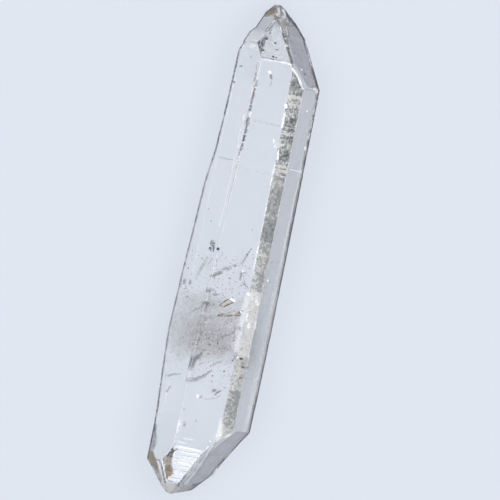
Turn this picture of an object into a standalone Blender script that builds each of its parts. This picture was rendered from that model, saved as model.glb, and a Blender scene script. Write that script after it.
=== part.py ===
"""Double-terminated quartz crystal, lying on one of its prism faces.

One natural solid. Metres, +Z up. The crystal's long axis runs along Y, its more pointed end at +Y.
The origin is on the surface it rests on, below the middle of the crystal's box.
Sizes below are in millimetres, in the crystal's own axes: y along its length from the middle, and the
offset of each face outwards from the long axis.
"""

import math

import bmesh
import bpy
from mathutils import Matrix, Vector

MM = 0.001

# Length from tip to tip, and how far the six-sided column is drawn before its ends are cut
LENGTH = 30.0
COLUMN_HALF_LENGTH = LENGTH / 2 + 0.2

# Quartz's axial ratio sets how steep the terminal faces stand, and how fast they run in towards the axis
AXIAL_RATIO = 1.100
TERMINAL_LEAN = math.atan(AXIAL_RATIO * 2 / math.sqrt(3))
RUN_IN = 1 / math.tan(TERMINAL_LEAN)

# Six prism faces, 60 degrees apart round the long axis, from the one on top towards +X
SIDES = 6
TOP, RIGHT, UNDER_RIGHT, UNDER, UNDER_LEFT, LEFT = range(SIDES)
FACE_STEP = 2 * math.pi / SIDES

# Where each terminal face leaves its prism face, as a height along the length
UPPER_ENDS = {TOP: 11.51, LEFT: 12.41, RIGHT: 10.36, UNDER_RIGHT: 13.25, UNDER: 13.50}
LOWER_ENDS = {LEFT: -13.25, RIGHT: -10.53, UNDER_RIGHT: -13.43, UNDER: -13.60}

# Growth steps on two of the terminal faces: heights at which the face stands still before it runs in again
UPPER_LEFT_STEPS = [(11.87, 12.23), (13.01, 13.37), (14.39, 15.20)]
LOWER_TOP_START = -12.17
LOWER_TOP_STEPS = [-12.35, -12.62, -12.84, -13.10, -13.27, -13.56, -13.80, -14.05, -14.30]
STEP_TREAD = 0.05

# Fine growth ledges across the lower right prism face, between two heights: how far the tallest stands
# out, how unlike each other they are, how steeply each drops back, and how unevenly they are spaced
RIDGED_FROM = 9.9
RIDGED_TO = 3.5
RIDGE_COUNT = 16
RIDGE_RELIEF = 0.035
RIDGE_VARIETY = 0.45
RIDGE_DROP = 0.02
RIDGE_SWAY = 0.02

# Where the two tips are worn or broken off: a point on each break, and the way the break faces
TIP_BREAKS = [
    ((-0.40, 14.92, -0.60), (0.06, 1.00, 0.10)),
    ((-0.80, 14.70, -0.30), (-0.62, 0.75, 0.25)),
    ((0.05, 14.75, -0.80), (0.66, 0.72, 0.15)),
    ((-1.05, -15.08, 0.10), (-0.06, -1.00, 0.10)),
    ((-1.32, -14.92, 0.05), (-0.72, -0.66, 0.20)),
    ((-0.62, -14.98, 0.20), (0.35, -0.93, 0.05)),
]

# Etched pits on the upper top terminal face: centre (x, y), and half sizes across, along and deep
PITS = [
    ((-0.97, 12.47), (0.14, 0.37, 0.12)),
    ((-0.72, 12.76), (0.07, 0.08, 0.06)),
    ((-0.90, 12.02), (0.09, 0.07, 0.06)),
    ((-0.19, 12.63), (0.05, 0.05, 0.04)),
    ((-0.15, 11.80), (0.11, 0.05, 0.04)),
]

# Small chips along the edge between the left and top prism faces: height and half length
EDGE_NICKS = [(9.70, 0.26), (9.05, 0.36), (8.20, 0.30), (7.40, 0.20), (6.75, 0.14)]
NICK_SIZE = 0.075

# A chip off the shoulder where the upper right terminal face meets its prism face: height and half sizes
SHOULDER_CHIP = (10.32, (0.11, 0.154, 0.176))

# Places nearer than this to a cutting plane lie on it, and faces that turn less than this are one flat face
TOUCHING = 1e-5
FLAT_WITHIN = math.radians(0.02)


def along(start, end, share):
    return start + (end - start) * share


def stepped_run(y, offset, treads, end):
    """A terminal face that runs in from its prism face by steps, as (y, offset) points towards one end."""
    start = y
    points = [(y, offset)]
    for tread in treads:
        points.append((tread, offset - RUN_IN * abs(tread - start)))
        points.append((tread + end * STEP_TREAD, points[-1][1]))
    points.append((end * COLUMN_HALF_LENGTH, offset - RUN_IN * (COLUMN_HALF_LENGTH - abs(start))))
    return points


def ridged(y_from, y_to, offset_from, offset_to):
    """A prism face with fine ledges across it: each creeps out, then drops back."""
    points = []
    for i in range(RIDGE_COUNT):
        share = i / RIDGE_COUNT
        height = along(y_from, y_to, share + RIDGE_SWAY * math.sin(5.0 * i))
        level = along(offset_from, offset_to, share)
        relief = RIDGE_RELIEF * (1 - RIDGE_VARIETY + RIDGE_VARIETY * math.sin(2.1 * i + 0.6))
        points.append((height, level))
        points.append((height - RIDGE_DROP, level + relief))
    points.append((y_to, offset_to))
    return points


def upper_left_run(offset):
    """The broad steps by which the lower left prism face gives way to the upper tip."""
    points = []
    for start, end in UPPER_LEFT_STEPS:
        points.append((start, offset))
        offset -= RUN_IN * (end - start)
        points.append((end, offset))
    return points[::-1]


# How far each prism face stands from the long axis, as (y, offset) from the +Y end down: its tapers and
# growth ledges
PROFILES = {
    TOP: [(12.0, 2.57), (7.82, 2.57), (7.78, 2.578), (4.90, 2.578), (4.86, 2.59)]
    + stepped_run(LOWER_TOP_START, 2.59, LOWER_TOP_STEPS, -1),
    RIGHT: [(12.0, 2.966), (5.36, 2.966), (5.32, 2.976), (-5.4, 2.956), (-12.5, 2.925)],
    UNDER_RIGHT: [(12.0, 2.29)]
    + ridged(RIDGED_FROM, RIDGED_TO, 2.30, 2.37)
    + [(-5.0, 2.42), (-8.0, 2.38), (-10.8, 2.30), (-11.2, 2.16), (-11.7, 2.12), (-12.5, 2.00)],
    UNDER: [(0.0, 2.338)],
    UNDER_LEFT: upper_left_run(1.77)
    + [
        (8.4, 1.865),
        (5.7, 1.996),
        (3.6, 2.32),
        (0.6, 2.446),
        (-1.8, 2.584),
        (-5.4, 2.692),
        (-7.8, 2.488),
        (-9.6, 2.29),
        (-11.1, 2.16),
        (-13.34, 2.15),
        (-13.73, 1.84),
        (-14.35, 1.62),
        (-14.75, 1.30),
        (-15.2, 0.80),
    ],
    LEFT: [(12.0, 2.068), (9.9, 2.086), (6.0, 2.17), (0.0, 2.326), (-6.0, 2.488), (-12.5, 2.566)],
}


def outward(face):
    return Vector((math.sin(FACE_STEP * face), 0.0, math.cos(FACE_STEP * face)))


def offset_at(face, y):
    """The face's offset at height y, read along its profile."""
    points = PROFILES[face]
    if y >= points[0][0]:
        return points[0][1]
    for (high, start), (low, end) in zip(points, points[1:]):
        if y >= low:
            return along(end, start, (y - low) / (high - low))
    return points[-1][1]


def corner(face, y):
    """Where this prism face meets the next one round, at height y."""
    after = (face + 1) % SIDES
    first, second = outward(face), outward(after)
    a, b = offset_at(face, y), offset_at(after, y)
    across = first.x * second.z - second.x * first.z
    x = (a * second.z - b * first.z) / across
    z = (b * first.x - a * second.x) / across
    return Vector((x, y, z))


def column():
    """The six-sided column, as rings of corners joined up."""
    heights = {y for points in PROFILES.values() for y, _ in points}
    heights |= {COLUMN_HALF_LENGTH, -COLUMN_HALF_LENGTH}
    solid = bmesh.new()
    rings = [[solid.verts.new(corner(face, y)) for face in range(SIDES)] for y in sorted(heights)]
    for lower, upper in zip(rings, rings[1:]):
        for i in range(SIDES):
            j = (i + 1) % SIDES
            solid.faces.new((lower[i], lower[j], upper[j], upper[i]))
    solid.faces.new(reversed(rings[0]))
    solid.faces.new(rings[-1])
    bmesh.ops.recalc_face_normals(solid, faces=solid.faces)
    return solid


def cut(solid, point, normal):
    """Takes off what lies beyond the plane, and closes the cut with a flat face."""
    everything = solid.verts[:] + solid.edges[:] + solid.faces[:]
    made = bmesh.ops.bisect_plane(
        solid, geom=everything, dist=TOUCHING, plane_co=point, plane_no=normal, clear_outer=True
    )
    rim = [item for item in made["geom_cut"] if isinstance(item, bmesh.types.BMEdge)]
    if rim:
        bmesh.ops.edgeloop_fill(solid, edges=rim)


def terminal_plane(face, y, end):
    """A point on a terminal face, and the way the face looks."""
    foot = outward(face) * offset_at(face, y)
    foot.y = y
    normal = outward(face) * math.sin(TERMINAL_LEAN)
    normal.y = end * math.cos(TERMINAL_LEAN)
    return foot, normal


def crystal_solid():
    solid = column()
    for face, y in UPPER_ENDS.items():
        cut(solid, *terminal_plane(face, y, 1))
    for face, y in LOWER_ENDS.items():
        cut(solid, *terminal_plane(face, y, -1))
    for point, facing in TIP_BREAKS:
        cut(solid, Vector(point), Vector(facing).normalized())
    bmesh.ops.dissolve_limit(
        solid,
        angle_limit=FLAT_WITHIN,
        verts=solid.verts,
        edges=solid.edges,
        use_dissolve_boundaries=False,
    )
    loose = [edge for edge in solid.edges if not edge.link_faces]
    bmesh.ops.delete(solid, geom=loose, context="EDGES")
    bmesh.ops.recalc_face_normals(solid, faces=solid.faces)
    return solid


def add_lens(lenses, place, sizes, turn):
    shape = Matrix.Translation(place) @ turn @ Matrix.Diagonal((*sizes, 1.0))
    bmesh.ops.create_icosphere(lenses, subdivisions=2, radius=1.0, matrix=shape)


def hollows():
    """The little lens shapes that are cut out as pits, nicks and a chip."""
    lenses = bmesh.new()
    foot, normal = terminal_plane(TOP, UPPER_ENDS[TOP], 1)
    leaning = normal.to_track_quat("Z", "Y").to_matrix().to_4x4()
    for (x, y), sizes in PITS:
        place = Vector((x, y, foot.z - normal.y * (y - foot.y) / normal.z))
        add_lens(lenses, place, sizes, leaning)
    level = Matrix.Identity(4)
    for y, half_length in EDGE_NICKS:
        add_lens(lenses, corner(LEFT, y), (NICK_SIZE, half_length, NICK_SIZE), level)
    height, sizes = SHOULDER_CHIP
    add_lens(lenses, corner(RIGHT, height), sizes, level)
    return lenses


def to_object(solid, name, place):
    mesh = bpy.data.meshes.new(name)
    solid.to_mesh(mesh)
    solid.free()
    mesh.transform(place)
    made = bpy.data.objects.new(name, mesh)
    bpy.context.scene.collection.objects.link(made)
    return made


def clear_quartz():
    material = bpy.data.materials.new("clear_quartz")
    material.use_nodes = True
    surface = material.node_tree.nodes["Principled BSDF"]
    surface.inputs["Base Color"].default_value = (0.93, 0.95, 0.97, 1.0)
    surface.inputs["Roughness"].default_value = 0.03
    surface.inputs["Metallic"].default_value = 0.0
    surface.inputs["IOR"].default_value = 1.544
    surface.inputs["Transmission Weight"].default_value = 1.0
    return material


def resting_place(solid):
    """Moves the crystal onto its lower face and over the origin, and turns millimetres into metres."""
    xs = [v.co.x for v in solid.verts]
    ys = [v.co.y for v in solid.verts]
    zs = [v.co.z for v in solid.verts]
    middle = Vector((-(min(xs) + max(xs)) / 2, -(min(ys) + max(ys)) / 2, -min(zs)))
    return Matrix.Scale(MM, 4) @ Matrix.Translation(middle)


def main():
    for obj in list(bpy.data.objects):
        bpy.data.objects.remove(obj)
    solid = crystal_solid()
    place = resting_place(solid)
    crystal = to_object(solid, "quartz_crystal", place)
    crystal.data.materials.append(clear_quartz())
    cutter = to_object(hollows(), "pits_and_nicks", place)
    cutter.hide_render = True
    cutter.display_type = "WIRE"
    pitted = crystal.modifiers.new("pits", "BOOLEAN")
    pitted.operation = "DIFFERENCE"
    pitted.solver = "EXACT"
    pitted.object = cutter


main()
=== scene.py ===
"""Double-terminated quartz crystal: its body, what is grown and healed inside it, and a plain studio."""

import math

import bmesh
import bpy
import numpy as np
from bpy.props import FloatProperty, FloatVectorProperty, IntProperty, PointerProperty
from mathutils import Matrix, Vector, noise
from mathutils.bvhtree import BVHTree


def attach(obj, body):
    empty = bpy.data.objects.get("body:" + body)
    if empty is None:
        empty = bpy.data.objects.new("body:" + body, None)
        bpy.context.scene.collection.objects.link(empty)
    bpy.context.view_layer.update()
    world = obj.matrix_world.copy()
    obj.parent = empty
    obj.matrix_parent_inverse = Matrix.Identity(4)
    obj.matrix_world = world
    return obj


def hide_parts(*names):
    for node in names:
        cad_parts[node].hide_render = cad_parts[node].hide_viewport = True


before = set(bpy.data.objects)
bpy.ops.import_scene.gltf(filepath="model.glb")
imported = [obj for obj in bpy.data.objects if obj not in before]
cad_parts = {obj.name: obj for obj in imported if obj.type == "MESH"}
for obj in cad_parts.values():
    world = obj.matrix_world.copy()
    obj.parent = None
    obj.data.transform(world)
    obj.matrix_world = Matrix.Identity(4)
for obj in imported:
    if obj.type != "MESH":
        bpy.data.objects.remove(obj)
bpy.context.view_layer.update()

bl_info = {
    "name": "Quartz crystal",
    "version": (1, 0, 0),
    "blender": (4, 5, 0),
    "location": "View3D > Sidebar > Quartz",
    "description": "Makes a clear double-terminated quartz crystal and its studio",
    "category": "Add Mesh",
}

NODE = "quartz_crystal"
MM = 0.001

# Six prism faces, 60 degrees apart round the long axis (+Y), from the one on top towards +X
TOP, RIGHT, UNDER_RIGHT, UNDER, UNDER_LEFT, LEFT = range(6)
AZIMUTHS = np.radians(60.0 * np.arange(6))
OUTWARD = np.stack([np.sin(AZIMUTHS), np.cos(AZIMUTHS)], axis=1)

# The photograph: its size and scale, where the middle of the crystal's axis lies, and how it is turned
PHOTO_SIZE = 500
PX_PER_MM = 16.68
AXIS_MIDDLE_PX = (235.0, 250.0)
LEAN_IN_PHOTO = math.radians(11.5)
ROLL_IN_PHOTO = math.radians(4.0)

# The length that one pixel of the photograph shows, in metres
PX = MM / PX_PER_MM

# How often light may bounce about inside the crystal
LIGHT_BOUNCES = 32

# The photograph's directions in the frame: across the crystal, along it, and back towards the camera
ACROSS = Vector((math.cos(ROLL_IN_PHOTO), 0.0, math.sin(ROLL_IN_PHOTO)))
ALONG = Vector((0.0, 1.0, 0.0))
BACK = Vector((-math.sin(ROLL_IN_PHOTO), 0.0, math.cos(ROLL_IN_PHOTO)))

# The long axis's place in the frame, in millimetres
AXIS = np.array([-0.0615, 0.0752, 2.338])

# Quartz's refractive index, and its axial ratio, which sets how steep the terminal faces stand
REFRACTIVE_INDEX = 1.544
AXIAL_RATIO = 1.100
TERMINAL_LEAN = math.atan(AXIAL_RATIO * 2 / math.sqrt(3))

# Where terminal faces leave their prism faces, as heights along the axis, in millimetres
UPPER_TOP_END, UPPER_LEFT_END, UPPER_RIGHT_END, LOWER_RIGHT_END = 11.51, 12.41, 10.36, -10.53


class Term:
    """A shader value that can stand in a Python expression. Each operation adds the node for it."""

    def __init__(self, graph, socket):
        self.graph = graph
        self.socket = socket

    def _math(self, operation, first, second):
        return self.graph.node("ShaderNodeMath", {"operation": operation}, {0: first, 1: second})

    def __add__(self, other):
        return self._math("ADD", self, other)

    def __radd__(self, other):
        return self._math("ADD", other, self)

    def __sub__(self, other):
        return self._math("SUBTRACT", self, other)

    def __rsub__(self, other):
        return self._math("SUBTRACT", other, self)

    def __mul__(self, other):
        return self._math("MULTIPLY", self, other)

    def __rmul__(self, other):
        return self._math("MULTIPLY", other, self)

    def __truediv__(self, other):
        return self._math("DIVIDE", self, other)

    def __rtruediv__(self, other):
        return self._math("DIVIDE", other, self)

    def at_least(self, other):
        return self._math("MAXIMUM", self, other)

    def at_most(self, other):
        return self._math("MINIMUM", self, other)

    def ramp(self, low, high):
        """0 below low, 1 above high, and a smooth rise between."""
        return self.graph.node(
            "ShaderNodeMapRange",
            {"interpolation_type": "SMOOTHSTEP", "clamp": True},
            {"Value": self, "From Min": low, "From Max": high},
        )


class Graph:
    """A material's or world's node tree."""

    def __init__(self, owner):
        owner.use_nodes = True
        self.tree = owner.node_tree
        self.tree.nodes.clear()

    def node(self, kind, settings=None, inputs=None, output=0):
        made = self.tree.nodes.new(kind)
        for name, value in (settings or {}).items():
            setattr(made, name, value)
        for name, value in (inputs or {}).items():
            socket = made.inputs[name]
            if isinstance(value, Term):
                self.tree.links.new(value.socket, socket)
            else:
                socket.default_value = value
        return Term(self, made.outputs[output]) if made.outputs else None

    def blend(self, share, first, second):
        """Colour first where share is 0, second where it is 1."""
        return self.node(
            "ShaderNodeMix", {"data_type": "RGBA"}, {0: share, 6: first, 7: second}, output=2
        )


def colour(rgb):
    return (*rgb, 1.0)


def linear(value):
    """A display value from 0 to 255 as linear light."""
    value /= 255
    return value / 12.92 if value <= 0.04045 else ((value + 0.055) / 1.055) ** 2.4


def display(red, green, blue):
    return (linear(red), linear(green), linear(blue))


class StudioSettings(bpy.types.PropertyGroup):
    floor_colour: FloatVectorProperty(
        name="Floor colour",
        description="Colour of the plain floor",
        default=display(222, 229, 240),
        subtype="COLOR",
    )
    camera_distance: FloatProperty(
        name="Camera distance",
        description="From the camera to the crystal",
        default=0.8,
        unit="LENGTH",
    )
    floor_size: FloatProperty(
        name="Floor size",
        description="Width of the square floor",
        default=6.0,
        unit="LENGTH",
    )
    floor_gap: FloatProperty(
        name="Floor gap",
        description="How far the floor lies below the crystal",
        default=0.00005,
        unit="LENGTH",
    )


class BodySettings(bpy.types.PropertyGroup):
    # The painted shade's colour: a smoky tint that stands in for the dark surroundings seen through the
    # faces
    painted_shade_colour: FloatVectorProperty(
        name="Film colour",
        description="What light keeps of its colour through the smoky faces",
        default=(0.165, 0.144, 0.158),
        subtype="COLOR",
    )
    dark_rust: FloatVectorProperty(
        name="Dark rust",
        description="Darker colour of the stains",
        default=(0.115, 0.092, 0.070),
        subtype="COLOR",
    )
    pale_rust: FloatVectorProperty(
        name="Pale rust",
        description="Paler colour of the stains",
        default=(0.235, 0.182, 0.120),
        subtype="COLOR",
    )
    inside_colour: FloatVectorProperty(
        name="Inside colour",
        description="Colour that the crystal gives to light that goes a long way through it",
        default=(0.90, 0.93, 0.95),
        subtype="COLOR",
    )
    ring_spacing: FloatProperty(
        name="Ring spacing",
        description="Distance between the rings of the mesh",
        default=0.00005,
        unit="LENGTH",
    )
    edge_wear: FloatProperty(
        name="Edge wear",
        description="Width taken off the long edges",
        default=0.000018,
        unit="LENGTH",
    )


# How many strips each face's mesh has across it: most on the three faces that look up
STRIPS = {TOP: 40, RIGHT: 22, UNDER_RIGHT: 16, UNDER: 6, UNDER_LEFT: 8, LEFT: 24}

# Where the two tips are worn or broken off: a point on each break, and the way the break faces
TIP_BREAKS = (
    ((-0.40, 14.92, -0.60), (0.06, 1.00, 0.10)),
    ((-0.80, 14.70, -0.30), (-0.62, 0.75, 0.25)),
    ((0.05, 14.75, -0.80), (0.66, 0.72, 0.15)),
    ((-1.05, -15.08, 0.10), (-0.06, -1.00, 0.10)),
    ((-1.32, -14.92, 0.05), (-0.72, -0.66, 0.20)),
    ((-0.62, -14.98, 0.20), (0.35, -0.93, 0.05)),
)


def smooth(low, high, value):
    share = np.clip((value - low) / (high - low), 0.0, 1.0)
    return share * share * (3.0 - 2.0 * share)


# How far the noise moves on for each next seed
NOISE_SHIFT = (17.3, 5.9, 11.1)


def wander(positions, scale, seed):
    """Smooth noise from -1 to 1 at each position, with features about `scale` long."""
    shift = Vector([seed * part for part in NOISE_SHIFT])
    return np.array([noise.noise(Vector(p) / scale + shift) for p in positions])


# An edge that rises less than this, in millimetres, counts as level and crosses no section
LEVEL_EDGE = 1e-7


def sections(mesh, heights):
    """How far each prism face's side stands from the axis, in every cross-section of the solid."""
    points = np.array([v.co for v in mesh.vertices]) / MM
    points -= AXIS * (1.0, 0.0, 1.0)
    ends = np.array([e.vertices for e in mesh.edges])
    starts, stops = points[ends[:, 0]], points[ends[:, 1]]
    rows = []
    for y in heights:
        crosses = (starts[:, 1] - y) * (stops[:, 1] - y) <= 0
        crosses &= np.abs(starts[:, 1] - stops[:, 1]) > LEVEL_EDGE
        a, b = starts[crosses], stops[crosses]
        share = ((y - a[:, 1]) / (b[:, 1] - a[:, 1]))[:, None]
        cut = a + (b - a) * share
        rows.append((cut[:, [0, 2]] @ OUTWARD.T).max(axis=0))
    return np.array(rows)


def ring_corners(offsets):
    """The corner between each side and the next one round, for every section."""
    after = np.roll(np.arange(6), -1)
    first, second = OUTWARD, OUTWARD[after]
    across = first[:, 0] * second[:, 1] - second[:, 0] * first[:, 1]
    a, b = offsets, offsets[:, after]
    x = (a * second[:, 1] - b * first[:, 1]) / across
    z = (b * first[:, 0] - a * second[:, 0]) / across
    return np.stack([x, z], axis=2)


# How far inside the tips the end rings lie, and the least distance between two rings, in millimetres
TIP_MARGIN = 0.001
LEAST_SPACING = 0.008


def ring_heights(mesh, spacing):
    """Heights of the mesh's rings: at every corner of the solid and evenly between them."""
    ys = np.array([v.co.y for v in mesh.vertices]) / MM
    low, high = ys.min() + TIP_MARGIN, ys.max() - TIP_MARGIN
    wanted = np.sort(np.concatenate([ys, np.arange(low, high, spacing), [low, high]]))
    wanted = wanted[(wanted >= low) & (wanted <= high)]
    keep = [wanted[0]]
    for y in wanted[1:]:
        if y - keep[-1] > LEAST_SPACING:
            keep.append(y)
    keep[-1] = high
    return np.array(keep)


# Fine grooves across each prism face: how many, and how deep the deepest is, then between which heights
# they lie and how wide they are, all in millimetres
GROOVES = {
    TOP: (30, 0.003),
    RIGHT: (24, 0.003),
    UNDER_RIGHT: (90, 0.008),
    UNDER: (20, 0.002),
    UNDER_LEFT: (60, 0.008),
    LEFT: (26, 0.003),
}
GROOVES_BETWEEN = (-12.0, 11.5)
GROOVE_WIDTH = 0.03

# Two ledges deeper than the grooves: face, height and depth, and how wide both are
LEDGES = ((LEFT, 5.25, 0.012), (RIGHT, 5.34, 0.012))
LEDGE_WIDTH = 0.035

# The ridged part of the crusted face: heights at which it fades in and out, and how deep it is let in
RIDGES_START, RIDGES_FULL, RIDGES_FADE, RIDGES_END = 3.0, 4.0, 9.9, 10.6
RIDGES_DEEP = 0.014


def growth_relief(heights):
    """How far each face is let in at each height, in millimetres: fine ledges and grooves across it."""
    relief = np.zeros((len(heights), 6))
    rng = np.random.default_rng(4)
    for face, (count, deep) in GROOVES.items():
        for y in rng.uniform(*GROOVES_BETWEEN, count):
            share = rng.uniform(0.3, 1.0)
            relief[:, face] += deep * share * np.exp(-(((heights - y) / GROOVE_WIDTH) ** 2))
    for face, y, deep in LEDGES:
        relief[:, face] += deep * np.exp(-(((heights - y) / LEDGE_WIDTH) ** 2))
    frosted = smooth(RIDGES_START, RIDGES_FULL, heights) * smooth(RIDGES_END, RIDGES_FADE, heights)
    relief[:, UNDER_RIGHT] += frosted * rng.uniform(0.0, RIDGES_DEEP, len(heights))
    return relief


# Small chips along the long edges: the face whose far edge it is, height, half length and width
CHIPS = (
    (LEFT, 9.70, 0.26, 0.07),
    (LEFT, 9.05, 0.36, 0.08),
    (LEFT, 8.20, 0.30, 0.09),
    (LEFT, 7.40, 0.20, 0.08),
    (LEFT, 6.75, 0.14, 0.07),
    (LEFT, 6.10, 0.22, 0.05),
)

# The share of a chip's length that has its full width
CHIP_FLAT = 0.6

# Worn spots along each long edge: how many, between which heights, how long, and how much more is worn off
WORN_SPOTS = 60
WORN_BETWEEN = (-14.0, 14.0)
WORN_LENGTH = (0.03, 0.25)
MOST_EXTRA_WEAR = 1.6


def edge_width(heights, wear):
    """How much is worn off each long edge at each height, in millimetres."""
    rng = np.random.default_rng(9)
    width = np.full((len(heights), 6), wear)
    for face in range(6):
        for y in rng.uniform(*WORN_BETWEEN, WORN_SPOTS):
            length = rng.uniform(*WORN_LENGTH)
            extra = wear * rng.uniform(0.0, MOST_EXTRA_WEAR)
            width[:, face] += extra * np.exp(-(((heights - y) / length) ** 2))
    for face, y, half, size in CHIPS:
        width[:, face] += size * smooth(half, half * CHIP_FLAT, np.abs(heights - y))
    return width


# A face narrower than this, in millimetres, has shallower relief. Wear takes at most a share of a side,
# and a rounded edge is set in by a share of its wear.
NARROW_FACE = 0.3
MOST_WEAR = 0.25
ROUNDING = 0.3


def body_rings(cad, settings):
    """The points of every ring, the rings' heights, and how far the solid's faces stand from the axis."""
    heights = ring_heights(cad, settings.ring_spacing / MM)
    outer = sections(cad, heights)
    corners = ring_corners(outer)
    lengths = np.linalg.norm(corners - np.roll(corners, 1, axis=1), axis=2)
    room = np.clip(lengths.min(axis=1) / NARROW_FACE, 0.0, 1.0)[:, None]
    corners = ring_corners(outer - growth_relief(heights) * room)
    lengths = np.linalg.norm(corners - np.roll(corners, 1, axis=1), axis=2)
    wear = edge_width(heights, settings.edge_wear / MM)
    wear = np.minimum(wear, MOST_WEAR * np.minimum(lengths, np.roll(lengths, -1, axis=1)))
    rings = []
    for side in range(6):
        start, end = corners[:, side - 1], corners[:, side]
        way = (end - start) / np.maximum(lengths[:, side], 1e-6)[:, None]
        first = start + way * wear[:, side - 1][:, None]
        last = end - way * wear[:, side][:, None]
        shares = np.linspace(0.0, 1.0, STRIPS[side] + 1)
        rings.append(first[:, None] + (last - first)[:, None] * shares[None, :, None])
        after = (side + 1) % 6
        next_way = (corners[:, after] - end) / np.maximum(lengths[:, after], 1e-6)[:, None]
        rounded = end - (way - next_way) * wear[:, side][:, None] * ROUNDING
        rings.append(rounded[:, None])
    flat = np.concatenate(rings, axis=1)
    points = np.empty((*flat.shape[:2], 3))
    points[:, :, 0] = flat[:, :, 0]
    points[:, :, 1] = heights[:, None]
    points[:, :, 2] = flat[:, :, 1]
    return points + AXIS * (1.0, 0.0, 1.0), heights, outer


# Points of the mesh closer than this, in metres, are one
MERGE_WITHIN = 5e-7


def mesh_of_rings(points):
    n_rings, n_round = points.shape[:2]
    index = np.arange(n_rings * n_round).reshape(n_rings, n_round)
    after = np.roll(index, -1, axis=1)
    quads = np.stack([index[:-1], after[:-1], after[1:], index[1:]], axis=2).reshape(-1, 4)
    faces = quads.tolist()
    places = points.reshape(-1, 3).tolist()
    for ring, end in ((index[0], after[0]), (index[-1], after[-1])):
        places.append(points.reshape(-1, 3)[ring].mean(axis=0).tolist())
        faces += [(a, b, len(places) - 1) for a, b in zip(ring.tolist(), end.tolist())]
    mesh = bpy.data.meshes.new("quartz_body")
    mesh.from_pydata((np.array(places) * MM).tolist(), [], faces)
    solid = bmesh.new()
    solid.from_mesh(mesh)
    bmesh.ops.remove_doubles(solid, verts=solid.verts, dist=MERGE_WITHIN)
    bmesh.ops.recalc_face_normals(solid, faces=solid.faces)
    solid.to_mesh(mesh)
    solid.free()
    return mesh


# The unevenness of the breaks, in millimetres: how large its features are and how high, and a seed for
# each
BREAK_RELIEF = ((0.33, 0.075, 0), (0.11, 0.03, 20))

# Places further than this inside a break, in millimetres, can't stand out past its unevenness
BREAK_REACH = 0.12


def broken_back(points):
    """Presses what lies beyond each break back on to an uneven surface."""
    flat = points.reshape(-1, 3)
    for seed, (point, facing) in enumerate(TIP_BREAKS):
        facing = np.array(facing) / np.linalg.norm(facing)
        beyond = (flat - point - AXIS) @ facing
        near = np.flatnonzero(beyond > -BREAK_REACH)
        spots = flat[near]
        rise = sum(np.abs(wander(spots, size, seed + more)) * high for size, high, more in BREAK_RELIEF)
        over = np.maximum(beyond[near] + rise, 0.0)
        flat[near] -= over[:, None] * facing
    return flat.reshape(points.shape)


# Etched pits: the centre's place across and along, from the axis's middle, and the sizes across, along and
# deep, all in photograph pixels
UPPER_TOP_PITS = (
    ((-13.6, -208.5), (2.0, 5.6, 1.6)),
    ((-11.0, -213.0), (1.3, 1.3, 1.2)),
    ((-12.5, -201.0), (1.5, 1.2, 1.1)),
    ((-1.5, -210.5), (1.1, 1.0, 0.9)),
    ((-1.0, -196.5), (1.3, 1.0, 1.0)),
    ((2.0, -196.3), (0.7, 0.6, 0.7)),
    ((-1.5, -193.8), (0.8, 0.6, 0.7)),
    ((1.2, -204.0), (0.8, 0.6, 0.6)),
)

# How far below the terminal face's foot the pits may reach, in millimetres
PIT_MARGIN = 0.5


def pitted(points):
    """Sinks the pits into the upper top terminal face."""
    inward = -np.array([0.0, math.cos(TERMINAL_LEAN), math.sin(TERMINAL_LEAN)])
    flat = points.reshape(-1, 3)
    u, v = as_photographed(flat - AXIS)
    on_top = (flat[:, 2] > AXIS[2]) & (flat[:, 1] > UPPER_TOP_END - PIT_MARGIN)
    for (pit_u, pit_v), (across, along, deep) in UPPER_TOP_PITS:
        reach = np.hypot((u - pit_u) / across, (v - pit_v) / along)
        sunk = np.where(on_top & (reach < 1.0), deep / PX_PER_MM * (1.0 - reach**2), 0.0)
        flat += sunk[:, None] * inward
    return flat.reshape(points.shape)


def as_photographed(places):
    """Places from the axis's middle, in millimetres, as photograph pixels across and along the crystal."""
    u = (places[:, 0] * math.cos(ROLL_IN_PHOTO) + places[:, 2] * math.sin(ROLL_IN_PHOTO)) * PX_PER_MM
    return u, -places[:, 1] * PX_PER_MM


def body_mesh(settings):
    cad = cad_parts[NODE].data
    points, heights, outer = body_rings(cad, settings)
    mesh = mesh_of_rings(pitted(broken_back(points)))
    paint_masks(mesh, heights, outer)
    mesh.name = "quartz_body"
    return mesh


# Half the width of a filled outline's soft border, in pixels, and where a line fades, as shares of its
# width
SOFT_BORDER = 1.2
LINE_OUTER, LINE_INNER = 0.75, 0.25


def polygon_inside(u, v, corners, ragged):
    """1 inside the outline, 0 outside, with a soft and ragged border, all in photograph pixels."""
    corners = np.array(corners, dtype=float)
    nearest = np.full(len(u), 1e9)
    inside = np.zeros(len(u), dtype=bool)
    for a, b in zip(corners, np.roll(corners, -1, axis=0)):
        nearest = np.minimum(nearest, segment_distance(u, v, a, b))
        spans = (a[1] > v) != (b[1] > v)
        crossing = a[0] + (v - a[1]) * (b[0] - a[0]) / (b[1] - a[1] if b[1] != a[1] else 1e-9)
        inside ^= spans & (u < crossing)
    signed = np.where(inside, nearest, -nearest) + ragged
    return smooth(-SOFT_BORDER, SOFT_BORDER, signed)


def segment_distance(u, v, a, b):
    way = b - a
    along = np.clip(((u - a[0]) * way[0] + (v - a[1]) * way[1]) / max(way @ way, 1e-9), 0.0, 1.0)
    return np.hypot(u - a[0] - way[0] * along, v - a[1] - way[1] * along)


def line_mask(u, v, points, width):
    """1 on the line through the points, fading to 0 at its sides."""
    points = np.array(points, dtype=float)
    nearest = np.full(len(u), 1e9)
    for a, b in zip(points, points[1:]):
        nearest = np.minimum(nearest, segment_distance(u, v, a, b))
    return smooth(width * LINE_OUTER, width * LINE_INNER, nearest)


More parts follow.
